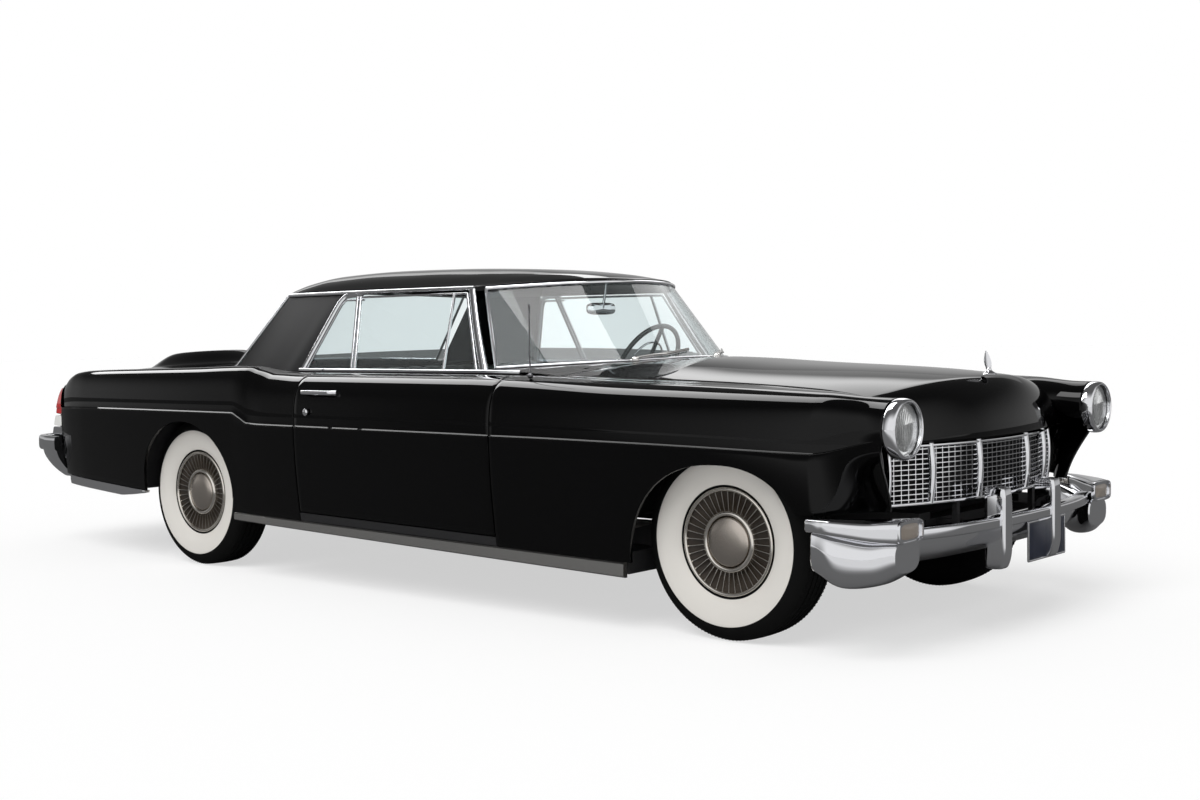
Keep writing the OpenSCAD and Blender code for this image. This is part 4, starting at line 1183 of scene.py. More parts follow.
class Repeater:
    """Geometry Nodes tree that sets copies of one part around an axis or along a line."""

    INPUTS = (
        ("Geometry", "NodeSocketGeometry"), ("Part", "NodeSocketObject"), ("Count", "NodeSocketInt"),
        ("Start", "NodeSocketFloat"), ("Step", "NodeSocketFloat"), ("Axis", "NodeSocketVector"),
        ("Centre", "NodeSocketVector"), ("Shift", "NodeSocketVector"), ("Finish", "NodeSocketMaterial"),
    )

    def __init__(self) -> None:
        """Builds the tree."""
        self.tree = bpy.data.node_groups.new("repeat_part", "GeometryNodeTree")
        for name, kind in self.INPUTS:
            self.tree.interface.new_socket(name, in_out="INPUT", socket_type=kind)
        self.tree.interface.new_socket("Geometry", in_out="OUTPUT", socket_type="NodeSocketGeometry")
        nodes, links = self.tree.nodes, self.tree.links
        given, out = nodes.new("NodeGroupInput"), nodes.new("NodeGroupOutput")
        line = nodes.new("GeometryNodeMeshLine")
        info = nodes.new("GeometryNodeObjectInfo")
        index = nodes.new("GeometryNodeInputIndex")
        angle = nodes.new("ShaderNodeMath")
        angle.operation = "MULTIPLY_ADD"
        turn = nodes.new("FunctionNodeAxisAngleToRotation")
        copies = nodes.new("GeometryNodeInstanceOnPoints")
        real = nodes.new("GeometryNodeRealizeInstances")
        finish = nodes.new("GeometryNodeSetMaterial")
        for source, target in (
            (given.outputs["Count"], line.inputs["Count"]),
            (given.outputs["Centre"], line.inputs["Start Location"]),
            (given.outputs["Shift"], line.inputs["Offset"]),
            (given.outputs["Part"], info.inputs["Object"]),
            (index.outputs[0], angle.inputs[0]),
            (given.outputs["Step"], angle.inputs[1]),
            (given.outputs["Start"], angle.inputs[2]),
            (given.outputs["Axis"], turn.inputs["Axis"]),
            (angle.outputs[0], turn.inputs["Angle"]),
            (line.outputs["Mesh"], copies.inputs["Points"]),
            (info.outputs["Geometry"], copies.inputs["Instance"]),
            (turn.outputs["Rotation"], copies.inputs["Rotation"]),
            (copies.outputs["Instances"], real.inputs["Geometry"]),
            (real.outputs["Geometry"], finish.inputs["Geometry"]),
            (given.outputs["Finish"], finish.inputs["Material"]),
            (finish.outputs["Geometry"], out.inputs["Geometry"]),
        ):
            links.new(source, target)

    def run(self, name: str, part: bpy.types.Object, **values: object) -> bpy.types.Object:
        """Repeats a part and bakes the result to a plain mesh.

        Args:
            name: piece name.
            part: the object to copy; it is removed afterwards.
            values: inputs of the tree by name, with angles in radians and lengths in metres.
        Returns:
            The baked object.
        """
        holder = bpy.data.objects.new(name, bpy.data.meshes.new(name))
        bpy.context.scene.collection.objects.link(holder)
        modifier = holder.modifiers.new("repeat", "NODES")
        modifier.node_group = self.tree
        ids = {s.name: s.identifier for s in self.tree.interface.items_tree if s.in_out == "INPUT"}
        modifier[ids["Part"]] = part
        for key, value in values.items():
            modifier[ids[key]] = value
        graph = bpy.context.evaluated_depsgraph_get()
        graph.update()
        mesh = bpy.data.meshes.new_from_object(holder.evaluated_get(graph))
        holder.modifiers.remove(modifier)
        holder.data = mesh
        mesh.name = name
        bpy.data.objects.remove(part)
        return holder


@dataclass
class Wheels:
    """Four wheels: tyres with a pale band and ribs, and finned covers."""

    kit: Kit
    repeat: Repeater

    def build(self) -> None:
        """Makes all four."""
        for end, x, track in (("front", FRONT_AXLE, FRONT_TRACK), ("rear", REAR_AXLE, REAR_TRACK)):
            for side in Side:
                self._wheel(f"{end}_{side.label}", np.array([x, -track / 2, TYRE_R]), side)

    @staticmethod
    def _wall() -> np.ndarray:
        """Radius and outward place along the tyre's side, from bead to tread."""
        return smooth_path([
            (RIM_R + 0.2, 58), (RIM_R + 5, 68), (RIM_R + 14, 77), (RIM_R + 32, 88), (RIM_R + 56, 97),
            (RIM_R + 84, 102), (RIM_R + 108, 102.4), (RIM_R + 128, 98), (RIM_R + 144, 89),
            (RIM_R + 155, 78), (RIM_R + 161, 66)], 5)

    def _tyre(self, centre: np.ndarray) -> Draft:
        """Tyre with grooves in its tread.

        Args:
            centre: middle of the wheel.
        Returns:
            The right-hand form.
        """
        wall = self._wall()
        tread = []
        for h in (42.0, 14.0, -14.0, -42.0):
            for dh, depth in ((4.5, 0.0), (3.0, 7.0), (-3.0, 7.0), (-4.5, 0.0)):
                tread.append((TYRE_R - 0.0006 * h * h - depth, h + dh))
        inner = wall[::-1] * np.array([1, -1])
        return Draft().lathe(np.concatenate([wall, tread, inner]), centre, "y", 128)

    def _band(self, centre: np.ndarray) -> Draft:
        """Pale band on the tyre's outer side.

        Args:
            centre: middle of the wheel.
        Returns:
            The right-hand form.
        """
        wall = self._wall()
        part = wall[(wall[:, 0] > RIM_R + 11) & (wall[:, 0] < WHITE_R + 2)]
        face = part + np.array([0, 0.9])
        face[0, 1] -= 0.9
        face[-1, 1] -= 0.9
        return Draft().lathe(np.concatenate([face, part[::-1] - np.array([0, 3])]), centre, "y", 128)

    @staticmethod
    def _rim(centre: np.ndarray) -> Draft:
        """Dark rim behind the cover.

        Args:
            centre: middle of the wheel.
        Returns:
            The right-hand form.
        """
        return Draft().lathe([
            (0, -40), (120, -40), (150, -20), (RIM_R - 16, -20), (RIM_R - 16, -88), (RIM_R - SEAT, -88),
            (RIM_R - SEAT, 62), (RIM_R - 6, 66), (150, 50), (108, 44), (0, 40)], centre, "y", 96)

    @staticmethod
    def _cover(centre: np.ndarray) -> tuple[Draft, Draft]:
        """Bright rings and brushed dome of a cover.

        Args:
            centre: middle of the wheel.
        Returns:
            The rings and the dome.
        """
        ring = [(RIM_R - 4 + 7.5 * math.cos(a), 71 + 7.5 * math.sin(a))
                for a in np.linspace(0, 2 * math.pi, 16, endpoint=False)]
        collar = smooth_path([(116, 46), (115, 58), (112, 68), (106, 73), (99, 73), (95, 69), (94, 62)], 4)
        dome = smooth_path([(91, 60), (90.5, 66), (88, 71), (82, 74), (60, 79), (30, 81.5), (0, 82.2)], 5)
        bright = Draft().lathe(ring, centre, "y", 128)
        bright.lathe(np.concatenate([collar, [(94, 44), (116, 44)]]), centre, "y", 128)
        return bright, Draft().lathe(np.concatenate([dome, [(0, 42), (91, 42)]]), centre, "y", 128)

    def _wheel(self, name: str, centre: np.ndarray, side: Side) -> None:
        """One wheel with its tyre, cover, fins and ribs.

        Args:
            name: end and side, for piece names.
            centre: middle of the wheel as if on the right.
            side: the side wanted.
        """
        shop, body = self.kit.shop, f"wheel_{name}"
        tyre, band, rim = self._tyre(centre), self._band(centre), self._rim(centre)
        bright, dome = self._cover(centre)
        self.kit.make(tyre.on(side), f"tyre_skin_{name}", RUBBER, body, [f"tyre_{name}"], "tyre_rubber")
        self.kit.make(band.on(side), f"tyre_band_{name}", WHITEWALL, body, (), "tyre_rubber")
        self.kit.make(rim.on(side), f"rim_{name}", COVER_DARK, body, [f"wheel_{name}"], "wheel_cover")
        self.kit.make(bright.on(side), f"cover_rings_{name}", FIN, body, (), "wheel_cover")
        self.kit.make(dome.on(side), f"cover_dome_{name}", COVER, body, (), "wheel_cover")
        hub = Vector((centre[0] * MM, centre[1] * MM * -side.value, centre[2] * MM))
        out = float(side.value)
        turn = {"Axis": (0.0, 1.0, 0.0), "Centre": hub, "Shift": (0.0, 0.0, 0.0), "Start": 0.0}
        # radius, half width and height of a fin
        shape = ((112, 1.5, 64), (132, 1.8, 66), (152, 2.0, 67), (170, 2.3, 68), (RIM_R - 9, 2.6, 69))
        fin = Draft().loft(np.stack([
            stacked(np.full(4, r), out * np.array([46, 46, h, h]), np.array([-w, w, w - 0.8, 0.8 - w]))
            for r, w, h in shape]))
        fins = self.repeat.run(f"fins_{name}", fin.build(f"fin_{name}", shop.get(FIN)), Count=FINS,
                               Step=2 * math.pi / FINS, Finish=shop.get(FIN), **turn)
        self.kit.place(fins, body, (), "wheel_cover")
        rib = Draft()
        for middle in (-60, 60):
            rib.box((TYRE_R - 6, middle - 10, -1.5), (TYRE_R - 2.4, middle + 10, 1.5))
        ribs = self.repeat.run(f"ribs_{name}", rib.build(f"rib_{name}", shop.get(RUBBER)), Count=RIBS,
                               Step=2 * math.pi / RIBS, Finish=shop.get(RUBBER), **turn)
        self.kit.place(ribs, body, (), "tyre_rubber")


@dataclass
class FrontEnd:
    """Bumper, guards, lamps, grille, blank plate and ornament."""

    kit: Kit
    repeat: Repeater
    columns: int = 40
    rows: int = 12
    bars: tuple[float, ...] = (-441.0, -189.0, 189.0, 441.0)
    ornament_x: float = 2596.0

    def build(self) -> None:
        """Makes the front end."""
        self._bumper()
        self._pod_lamps()
        self._headlamps()
        self._grille()
        self._plate()
        self._ornament()

    @staticmethod
    def _sections(rows: Sequence[Sequence[float]], power: float) -> np.ndarray:
        """Rings along X from rows of x, y, height, width and section height, rounded at both ends.

        Args:
            rows: the sections.
            power: squareness of each.
        Returns:
            Points by ring.
        """
        s = smooth_path(rows, 8)
        first, last = s[0].copy(), s[-1].copy()
        first[0] -= 5
        last[0] += 5
        first[3:] -= 9
        last[3:] -= 9
        out = []
        for x, y, z, w, h in np.concatenate([[first], s, [last]]):
            q = oval(w, h, 56, power)
            out.append(stacked(x, y + q[:, 0], z + q[:, 1]))
        return np.stack(out)

    def _bumper(self) -> None:
        """Blade, pan, wings, bowls and guards."""
        blade = smooth_path([
            (FRONT_AXLE + 690, -730, 0), (FRONT_AXLE + 752, -500, 0),
            (X_NOSE - 14, -250, 0), (X_NOSE - 8, 0, 0)], 14)
        bar = oval(58, 42, 40, 4.5) + np.array([-29, 425])
        draft = Draft().sweep(both_sides(blade), bar)
        pan = smooth_path([
            (FRONT_AXLE + 690, -640, 0), (FRONT_AXLE + 728, -470, 0),
            (X_NOSE - 46, -250, 0), (X_NOSE - 40, 0, 0)], 14)
        face = smooth_path([(0, 402), (-10, 374), (-30, 345), (-66, 320), (-110, 306)], 6)
        back = smooth_path([(-128, 312), (-92, 326), (-60, 352), (-42, 378), (-34, 402)], 6)
        draft.sweep(both_sides(pan), np.concatenate([face, back]))
        side = Draft()
        wing = [
            (FRONT_AXLE + 440, -958, 468, 40, 44), (FRONT_AXLE + 490, -945, 466, 66, 50),
            (FRONT_AXLE + 540, -925, 462, 90, 56), (FRONT_AXLE + 640, -850, 452, 150, 72),
            (FRONT_AXLE + 712, -770, 447, 165, 84)]
        bowl = [
            (FRONT_AXLE + 450, -930, 380, 60, 146), (FRONT_AXLE + 540, -890, 350, 140, 184),
            (FRONT_AXLE + 640, -820, 346, 190, 160), (FRONT_AXLE + 700, -765, 362, 170, 120)]
        side.loft(self._sections(wing, 4.0)).loft(self._sections(bowl, 2.6))
        side.loft(self._guard())
        draft.join(side.with_mirror())
        self.kit.make(draft, "front_bumper_skin", CHROME, "body", ["front_bumper"], "bright_chrome", 32)

    @staticmethod
    def _guard() -> np.ndarray:
        """Rings of a bumper guard from its foot to its top."""
        # height, front x, back x, width
        rows = smooth_path([
            (253, X_NOSE - 40, X_NOSE - 78, 40), (262, X_NOSE - 14, X_NOSE - 84, 52),
            (320, X_NOSE, X_NOSE - 84, 62), (420, X_NOSE, X_NOSE - 84, 66),
            (505, X_NOSE - 1, X_NOSE - 84, 66), (541, X_NOSE - 6, X_NOSE - 83, 62),
            (549, X_NOSE - 16, X_NOSE - 78, 52)], 6)
        out = []
        for z, front, back, width in rows:
            q = oval(min(front, X_NOSE) - back, width, 40, 7.0)
            out.append(stacked((min(front, X_NOSE) + back) / 2 + q[:, 0], -GUARD_Y + q[:, 1], z))
        return np.stack(out)

    def _pod_lamps(self) -> None:
        """Lamps in the bumper's ends."""
        at = np.array([FRONT_AXLE + 716, -768, 447])
        frame, lens = Draft(), Draft()
        rings = [stacked(x, *(oval(w, h, 48, 4.5).T)) for x, w, h in (
            (-6, 160, 80), (4, 162, 82), (9, 158, 78), (9, 148, 68), (3, 146, 66), (-6, 146, 66))]
        frame.loft(np.stack(rings) + at)
        lens.loft(lens_rings(146, 66, 8) + at + np.array([-2, 0, 0]))
        self.kit.bright(frame.with_mirror(), "pod_lamp_frames", angle=30)
        self.kit.make(lens.with_mirror(), "pod_lamp_lenses", SMOKED_LENS, "body")

    def _headlamps(self) -> None:
        """Rings, bowls and fluted lenses."""
        at = np.array([LAMP_X - 18 + 3 * SEAT, -LAMP_Y, LAMP_Z])
        outline = smooth_path([
            (LAMP_R - 3, 0), (LAMP_R, 8), (LAMP_R + 0.5, 22), (LAMP_R - 1, 34), (LAMP_R - 4, 42),
            (LAMP_R - 9, 46), (LAMP_R - 13, 45), (LAMP_R - 15, 38), (LAMP_R - 17, 20)], 4)
        ring = Draft().lathe(np.concatenate([outline, [(LAMP_R - 20, 0)]]), at, "x", 96)
        bowl = Draft().lathe([(86, 22), (74, 10), (44, -1), (0, -4), (0, -8), (48, -7), (86, 2)], at, "x", 64)
        bowl.lathe([(0, -5), (10, -5), (10, 8), (6, 13), (0, 15)], at, "x", 24)
        a = np.linspace(0, 2 * np.pi, 96, endpoint=False)
        rings = []
        for r in np.linspace(87, 0.05, 30):
            y, z = r * np.cos(a), r * np.sin(a)
            flute = 0.9 * np.cos(2 * np.pi * y / 11) * smooth(87, 76, np.full_like(y, r))
            rings.append(stacked(27 + 12 * (1 - (r / 87) ** 2) + flute, y, z))
        for r in np.linspace(0.05, 87, 12):
            rings.append(stacked(24 + 12 * (1 - (r / 87) ** 2), r * np.cos(a), r * np.sin(a)))
        lens = Draft().loft(np.stack(rings) + at)
        self.kit.make(ring.with_mirror(), "lamp_rings", CHROME, "body", ["headlamps"], "bright_chrome", 30)
        self.kit.bright(bowl.with_mirror(), "lamp_bowls", finish=BRUSHED)
        self.kit.make(lens.with_mirror(), "lamp_lenses", LENS, "body")

    def _grille(self) -> None:
        """Lattice with its frame, heavier bars and a dark sheet behind it as painted shade."""
        shop = self.kit.shop
        chrome = shop.get(CHROME)
        span = math.asin(GRILLE_HALF / GRILLE_R)
        arc = np.linspace(-span, span, 61)
        centre = Vector(((GRILLE_X - GRILLE_R) * MM, 0, 0))
        height = GRILLE_TOP - GRILLE_LOW
        pitch = height / self.rows
        still = {"Axis": (0.0, 0.0, 1.0), "Finish": chrome}
        wire = Draft().box((GRILLE_R - 22, -1.6, GRILLE_LOW), (GRILLE_R - 4, 1.6, GRILLE_TOP))
        uprights = self.repeat.run(
            "grille_uprights", wire.build("wire", chrome), Count=self.columns + 1, Start=-span,
            Step=2 * span / self.columns, Centre=centre, Shift=(0.0, 0.0, 0.0), **still)
        self.kit.place(uprights, "body", ["grille"], "bright_chrome")

        def circle(r: float) -> np.ndarray:
            """Arc of the grille at a radius."""
            return stacked(GRILLE_X - GRILLE_R + r * np.cos(arc), r * np.sin(arc), 0 * arc)

        row = Draft()
        q = np.array([(0, -1.5), (18, -1.5), (18, 1.5), (0, 1.5)])
        first = GRILLE_LOW + pitch
        row.loft(np.stack([circle(GRILLE_R - 21 + a) + np.array([0, 0, first + b]) for a, b in q], axis=1))
        slats = self.repeat.run(
            "grille_slats", row.build("slat", chrome), Count=self.rows - 1, Start=0.0, Step=0.0,
            Centre=Vector((0, 0, 0)), Shift=(0.0, 0.0, pitch * MM), **still)
        self.kit.place(slats, "body", (), "bright_chrome")
        frame = Draft()
        for z in (GRILLE_LOW + 2, GRILLE_TOP - 6):
            frame.rail(circle(GRILLE_R - 10) + np.array([0, 0, z]), 32, 13, 16)
        for y in (*self.bars, -GRILLE_HALF + 4, GRILLE_HALF - 4):
            x = float(grille_x(y)) - 12
            column = stacked(x, y, np.linspace(GRILLE_LOW, GRILLE_TOP, 21))
            column[:, 0] += 10 * np.sin(np.linspace(0, math.pi, 21))
            frame.rail(column, 28 if abs(y) < 600 else 18, 34, 20, (1, 0, 0))
        self.kit.bright(frame, "grille_frame")
        # Near-black sheet behind the lattice: painted shade for the dark inside of the nose.
        back = Draft()
        heights = np.linspace(GRILLE_LOW - 4, GRILLE_TOP, 4)
        sheet = np.stack([circle(GRILLE_R - 60) + np.array([0, 0, z]) for z in heights])
        back.slab(sheet, sheet - np.array([6, 0, 0]))
        self.kit.make(back, "grille_backing", DARK, "body")

    def _plate(self) -> None:
        """Blank plate with its rim and bracket."""
        x, y0, y1, z0, z1 = X_NOSE - 36, 25.0, 331.0, 252.0, 396.0
        grid = stacked(x, np.linspace(y0, y1, 7)[None, :], np.linspace(z0, z1, 5)[:, None])
        plate = Draft().panel(grid, (1, 0, 0), 3.0, 1.0)
        edge = np.array([(x, y0, z0), (x, y1, z0), (x, y1, z1), (x, y0, z1), (x, y0, z0)], float)
        rim = Draft()
        for a, b in zip(edge[:-1], edge[1:]):
            rim.rail(np.linspace(a, b, 2), 8, 8, 10, (1, 0, 0))
        rim.box((x - 26, 120, 376), (x - 3, 236, 404))
        self.kit.make(plate, "blank_plate", PLATE, "body")
        self.kit.bright(rim, "plate_rim")

    def _ornament(self) -> None:
        """Plain upright blade on the hood."""
        x = self.ornament_x
        z = float(hood_point(np.array(0.965), np.array(0.0))[2])
        draft = Draft()
        foot = smooth_path([(0, -3), (20, -3), (20, 2), (15, 6), (8, 12), (5, 22), (0, 23)], 3)
        a = np.linspace(0, 2 * np.pi, 32, endpoint=False)
        draft.loft(np.stack([
            stacked(x + r * 1.3 * np.cos(a), r * np.sin(a), z + h) for r, h in np.maximum(foot, (0.05, -9))]))
        rows = smooth_path([(16, 4, 10), (40, 3.4, 15), (64, 2.4, 11), (86, 0.6, 2)], 5)
        draft.loft(np.stack([
            stacked(x - 0.16 * h + d * np.cos(a), w * np.sin(a), z + h) for h, w, d in rows]))
        self.kit.bright(draft, "hood_ornament", "hood")


@dataclass
class Brightwork:
    """Bright mouldings round the glass, handles, locks and wipers."""

    kit: Kit
    handle_z: float = 873.0
    lock_x: float = -200.0
    lock_z: float = 785.0

    def build(self) -> None:
        """Makes the bright parts."""
        self._roof_edge()
        self._side_frames()
        self._belt()
        self._screens()
        self._handles()
        self._wipers()

    def _roof_edge(self) -> None:
        """Drip mouldings and windscreen pillars."""
        a, b = roof_point(0.0, np.array(-1.0))[0], roof_point(1.0, np.array(-1.0))[0]
        draft = Draft().rail(drip(np.linspace(a, b, 60)), 13, 17, 16)
        foot = screen_base(np.array(-1.0)) - np.array([8, 0, 0])
        foot[2] = BELT + 18
        head = drip(a - 6) - np.array([0, 4, 4])
        rings = []
        for k in np.linspace(0, 1, 12):
            q = oval(lerp(38, 30, k), lerp(26, 18, k), 24, 3.0)
            bend = np.array([-6 * math.sin(math.pi * k), 0, 0])
            rings.append(lerp(foot, head, k) + bend + stacked(q[:, 0], q[:, 1], 0 * q[:, 0]))
        draft.loft(np.stack(rings))
        draft.with_mirror()
        self.kit.make(draft, "window_trim_skin", CHROME, "body", ["window_trim"], "bright_chrome")

    @staticmethod
    def _in_glass(points: Sequence[Sequence[float]], out: float, steps: int = 6) -> np.ndarray:
        """Smooth line of x and height laid on the side glass, standing out from it."""
        p = smooth_path(points, steps)
        return stacked(p[:, 0], -glass_w(p[:, 1]) - out, p[:, 1])

    def _side_frames(self) -> None:
        """Frames of the quarter and door windows."""
        rear = [(pillar_x(SIDE_TOP_Z) + 6, SIDE_TOP_Z - 10), (pillar_x(1260) - 2, 1260)]
        rear += [(pillar_x(z) - 4, z) for z in (1180, 1080, BELT + 10)]
        turn = [(DOOR_REAR + x, SIDE_TOP_Z + z) for x, z in ((130, 7), (60, 5), (22, 1))]
        body = Draft()
        body.rail(self._in_glass(turn + rear, 4), 24, 10, 16, (0, 1, 0))
        inner = [(x + 24, min(z, SIDE_TOP_Z - 18)) for x, z in turn + rear]
        body.rail(self._in_glass(inner, 1), 9, 10, 12, (0, 1, 0))
        split_low, split_high = (DOOR_REAR + 178, BELT + 8), (DOOR_REAR + 98, SIDE_TOP_Z - 4)
        body.rail(self._in_glass([split_low, split_high], 3), 12, 12, 12, (0, 1, 0))
        self.kit.bright(body.with_mirror(), "quarter_frames")
        for side in Side:
            door = Draft()
            low, high = BELT + 4, SIDE_TOP_Z - 5
            # line on the glass, how far it stands out, width and height of the bar
            for line, out, width, height in (
                ([(DOOR_REAR + 201, low), (DOOR_REAR + 119, high)], 3, 12, 12),
                ([(479, low), (438, high)], 3, 13, 12),
                ([(DOOR_REAR + 121, high - 1), (200, high), (DOOR_FRONT - 415, high - 1)], 1, 10, 10),
                ([(DOOR_FRONT - 251, low + 2), (DOOR_FRONT - 416, high - 1)], 2, 11, 11),
            ):
                door.rail(self._in_glass(line, out), width, height, 12, (0, 1, 0))
            self.kit.bright(door.on(side), f"door_frame_trim_{side.label}", side.door)

    def _belt(self) -> None:
        """Mouldings under the side windows."""
        def strip(x0: float, x1: float) -> Draft:
            """Moulding between two places along the car."""
            x = np.linspace(x0, x1, 40)
            return Draft().rail(stacked(x, -gap_w(x) - 4, gap_z(x) + 6), 22, 20, 16)

        for side in Side:
            front = strip(DOOR_REAR + 5, DOOR_FRONT - 6).on(side)
            self.kit.bright(front, f"belt_moulding_{side.label}", side.door)
        rear = strip(pillar_x(BELT) - 10, DOOR_REAR - 5)
        self.kit.bright(rear.with_mirror(), "belt_moulding_rear")

    def _screens(self) -> None:
        """Mouldings round the windscreen and the rear window."""
        v = np.linspace(-0.965, 0.965, 61)
        draft = Draft()
        draft.rail(screen_base(v) + np.array([5, 0, 3]), 16, 12, 14)
        draft.rail(screen_top(v) + np.array([3, 0, 1]), 15, 15, 14)
        draft.rail(back_base(v) + np.array([-5, 0, 3]), 16, 12, 14)
        draft.rail(back_top(v) + np.array([-3, 0, 1]), 15, 15, 14)
        k = np.linspace(0, 1, 12)[:, None]
        for base, top, step in ((screen_base, screen_top, 3.0), (back_base, back_top, -3.0)):
            for edge in (-0.965, 0.965):
                line = lerp(base(np.array(edge))[None], top(np.array(edge))[None], k)
                draft.rail(line + np.array([step, 0.0, 0.0]), 14, 12, 12, (0, 1, 0))
        self.kit.bright(draft, "screen_mouldings")

    def _handles(self) -> None:
        """Door handles and locks."""
        for side in Side:
            marks = np.array([-238.0, -226.0, -206.0, -120.0, -40.0, -22.0, -10.0])
            x = smooth_path(marks[:, None], 6)[:, 0]
            z = self.handle_z + 0 * x
            lift = 26 * smooth(-240, -212, x) * (1 - smooth(-34, -8, x)) - 2
            path = stacked(x, -shoulder_w(x, z) - lift, z)
            draft = Draft().rail(path, 13, 19, 20)
            lock_w = float(shoulder_w(np.array(self.lock_x), np.array(self.lock_z)))
            lock = np.array([self.lock_x, -lock_w, self.lock_z])
            draft.lathe([(0, -3), (16, -3), (16, 4), (13, 7), (6, 8), (0, 8)], lock, "y", 32)
            self.kit.bright(draft.on(side), f"door_handle_{side.label}", side.door)

    @staticmethod
    def _on_screen(v: float, k: float) -> np.ndarray:
        """Point of the windscreen; v runs across, k up."""
        return lerp(screen_base(np.array(v)), screen_top(np.array(v)), k)

    def _wipers(self) -> None:
        """Two wipers at rest."""
        draft = Draft()
        for v in (-0.42, 0.22):
            root = screen_base(np.array(v)) + np.array([34, 0, 2])
            draft.loft(lens_turn(root, 17, 18))
            knee = self._on_screen(v + 0.22, 0.05) + np.array([16, 0, 6])
            tip = self._on_screen(v + 0.42, 0.09) + np.array([10, 0, 5])
            start = root + np.array([0, 0, 14])
            bend = lerp(start, knee, 0.5) + np.array([4, 0, 3])
            draft.rail(smooth_path([start, bend, knee], 6), 11, 8, 12)
            blade = [self._on_screen(v + d, k) + np.array([9, 0, 4])
                     for d, k in ((0.06, 0.03), (0.25, 0.06), (0.44, 0.10))]
            draft.rail(smooth_path(blade, 8), 8, 14, 12)
            draft.rail(np.stack([knee, lerp(knee, tip, 0.05) - np.array([6, 0, 2])]), 11, 8, 12)
        self.kit.bright(draft, "wipers", finish=BRUSHED)


@dataclass
class TailEnd:
    """Rear bumper and tail lamps."""

    kit: Kit

    def build(self) -> None:
        """Makes the tail."""
        self._bumper()
        self._lamps()

    def _bumper(self) -> None:
        """Blade, lower apron, arms and side strips."""
        blade = smooth_path([
            (TAIL_X - 8, -929, 558), (TAIL_X - 150, -917, 558), (TAIL_X - 285, -850, 558),
            (TAIL_X - 345, -650, 558), (X_TAIL + 1, 0, 558)], 14)
        draft = Draft().sweep(both_sides(blade), oval(46, 78, 40, 4.0) + np.array([23, 0]))
        low = smooth_path([
            (TAIL_X - 8, -919, 0), (TAIL_X - 150, -905, 0), (TAIL_X - 262, -836, 0), (TAIL_X - 318, -640, 0),
            (TAIL_X - 340, 0, 0)], 14)
        face = smooth_path([(0, 530), (12, 486), (40, 440), (74, 402), (110, 372)], 6)
        back = smooth_path([(126, 378), (96, 408), (70, 446), (46, 488), (30, 530)], 6)
        draft.sweep(both_sides(low), np.concatenate([face, back]))
        side = Draft().box((TAIL_X - 290, -560, 440), (TAIL_X - 236 - SEAT, -520, 488 - SEAT))
        x = np.linspace(REAR_AXLE - 326, TAIL_X + 70, 40)
        z, w = tail_low(x), lower_w(x, tail_low(x))
        h = 46 * np.clip((x[0] - x) / 260 + 0.12, 0, 1) ** 0.7
        ring = [stacked(x, -w - 6, z - SEAT), stacked(x, -w - 7, z - 0.5 * h), stacked(x, -w - 2, z - h),
                stacked(x, -w + 20, z - h), stacked(x, -w + 24, z - SEAT)]
        side.loft(np.stack(ring, axis=1))
        draft.join(side.with_mirror())
        self.kit.make(draft, "rear_bumper_skin", CHROME, "body", ["rear_bumper"], "bright_chrome", 32)

    @staticmethod
    def _block(z0: float, z1: float, s0: float, s1: float, depth: float) -> Draft:
        """Bulged block on the fender's end between two heights and two shares of its width.

        Args:
            z0, z1: lower and upper height.
            s0, s1: outer and inner share of the width.
            depth: share of the full reach rearward.
        Returns:
            The right block.
        """
        z, s = np.linspace(z0, z1, 24)[:, None], np.linspace(s0, s1, 19)[None, :]
        x = np.full_like(z, TAIL_X)
        outer = np.where(z < crease_z(x), lower_w(x, z), shoulder_w(x, z))
        inner = np.full_like(z, 722.0)
        round_s = (1 - np.abs(2 * (s - s0) / (s1 - s0) - 1) ** 10) ** 0.1
        round_z = (1 - np.abs(2 * (z - z0) / (z1 - z0) - 1) ** 8) ** 0.125
        reach = depth * lerp(150, 20, np.clip((z - 600) / 285, 0, 1)) * round_s * round_z
        w = lerp(outer, inner, s)
        mid = lerp(outer, inner, 0.5)
        face = stacked(TAIL_X - SEAT - reach, -lerp(w, mid, 0.12 * reach / 150), z)
        return Draft().slab(face, stacked(TAIL_X - SEAT, -w, z))

    def _lamps(self) -> None:
        """Painted bases, lenses and bright lips."""
        top = 881.0
        base = self._block(602, top, 0.0, 1.0, 0.35)
        self.kit.painted(base.with_mirror(), "tail_lamp_bases", "tail_lamps")
        for name, finish, z0, z1, slot in (
            ("tail_lamp_red", RED_LENS, 712, 862, "tail_lens"),
            ("tail_lamp_white", WHITE_LENS, 650, 709, "tail_lens"),
            ("tail_lamp_lips", CHROME, 604, 647, "bright_chrome"),
        ):
            lens = self._block(z0, z1, 0.02, 0.98, 1.0)
            self.kit.make(lens.with_mirror(), name, finish, "body", (), slot)


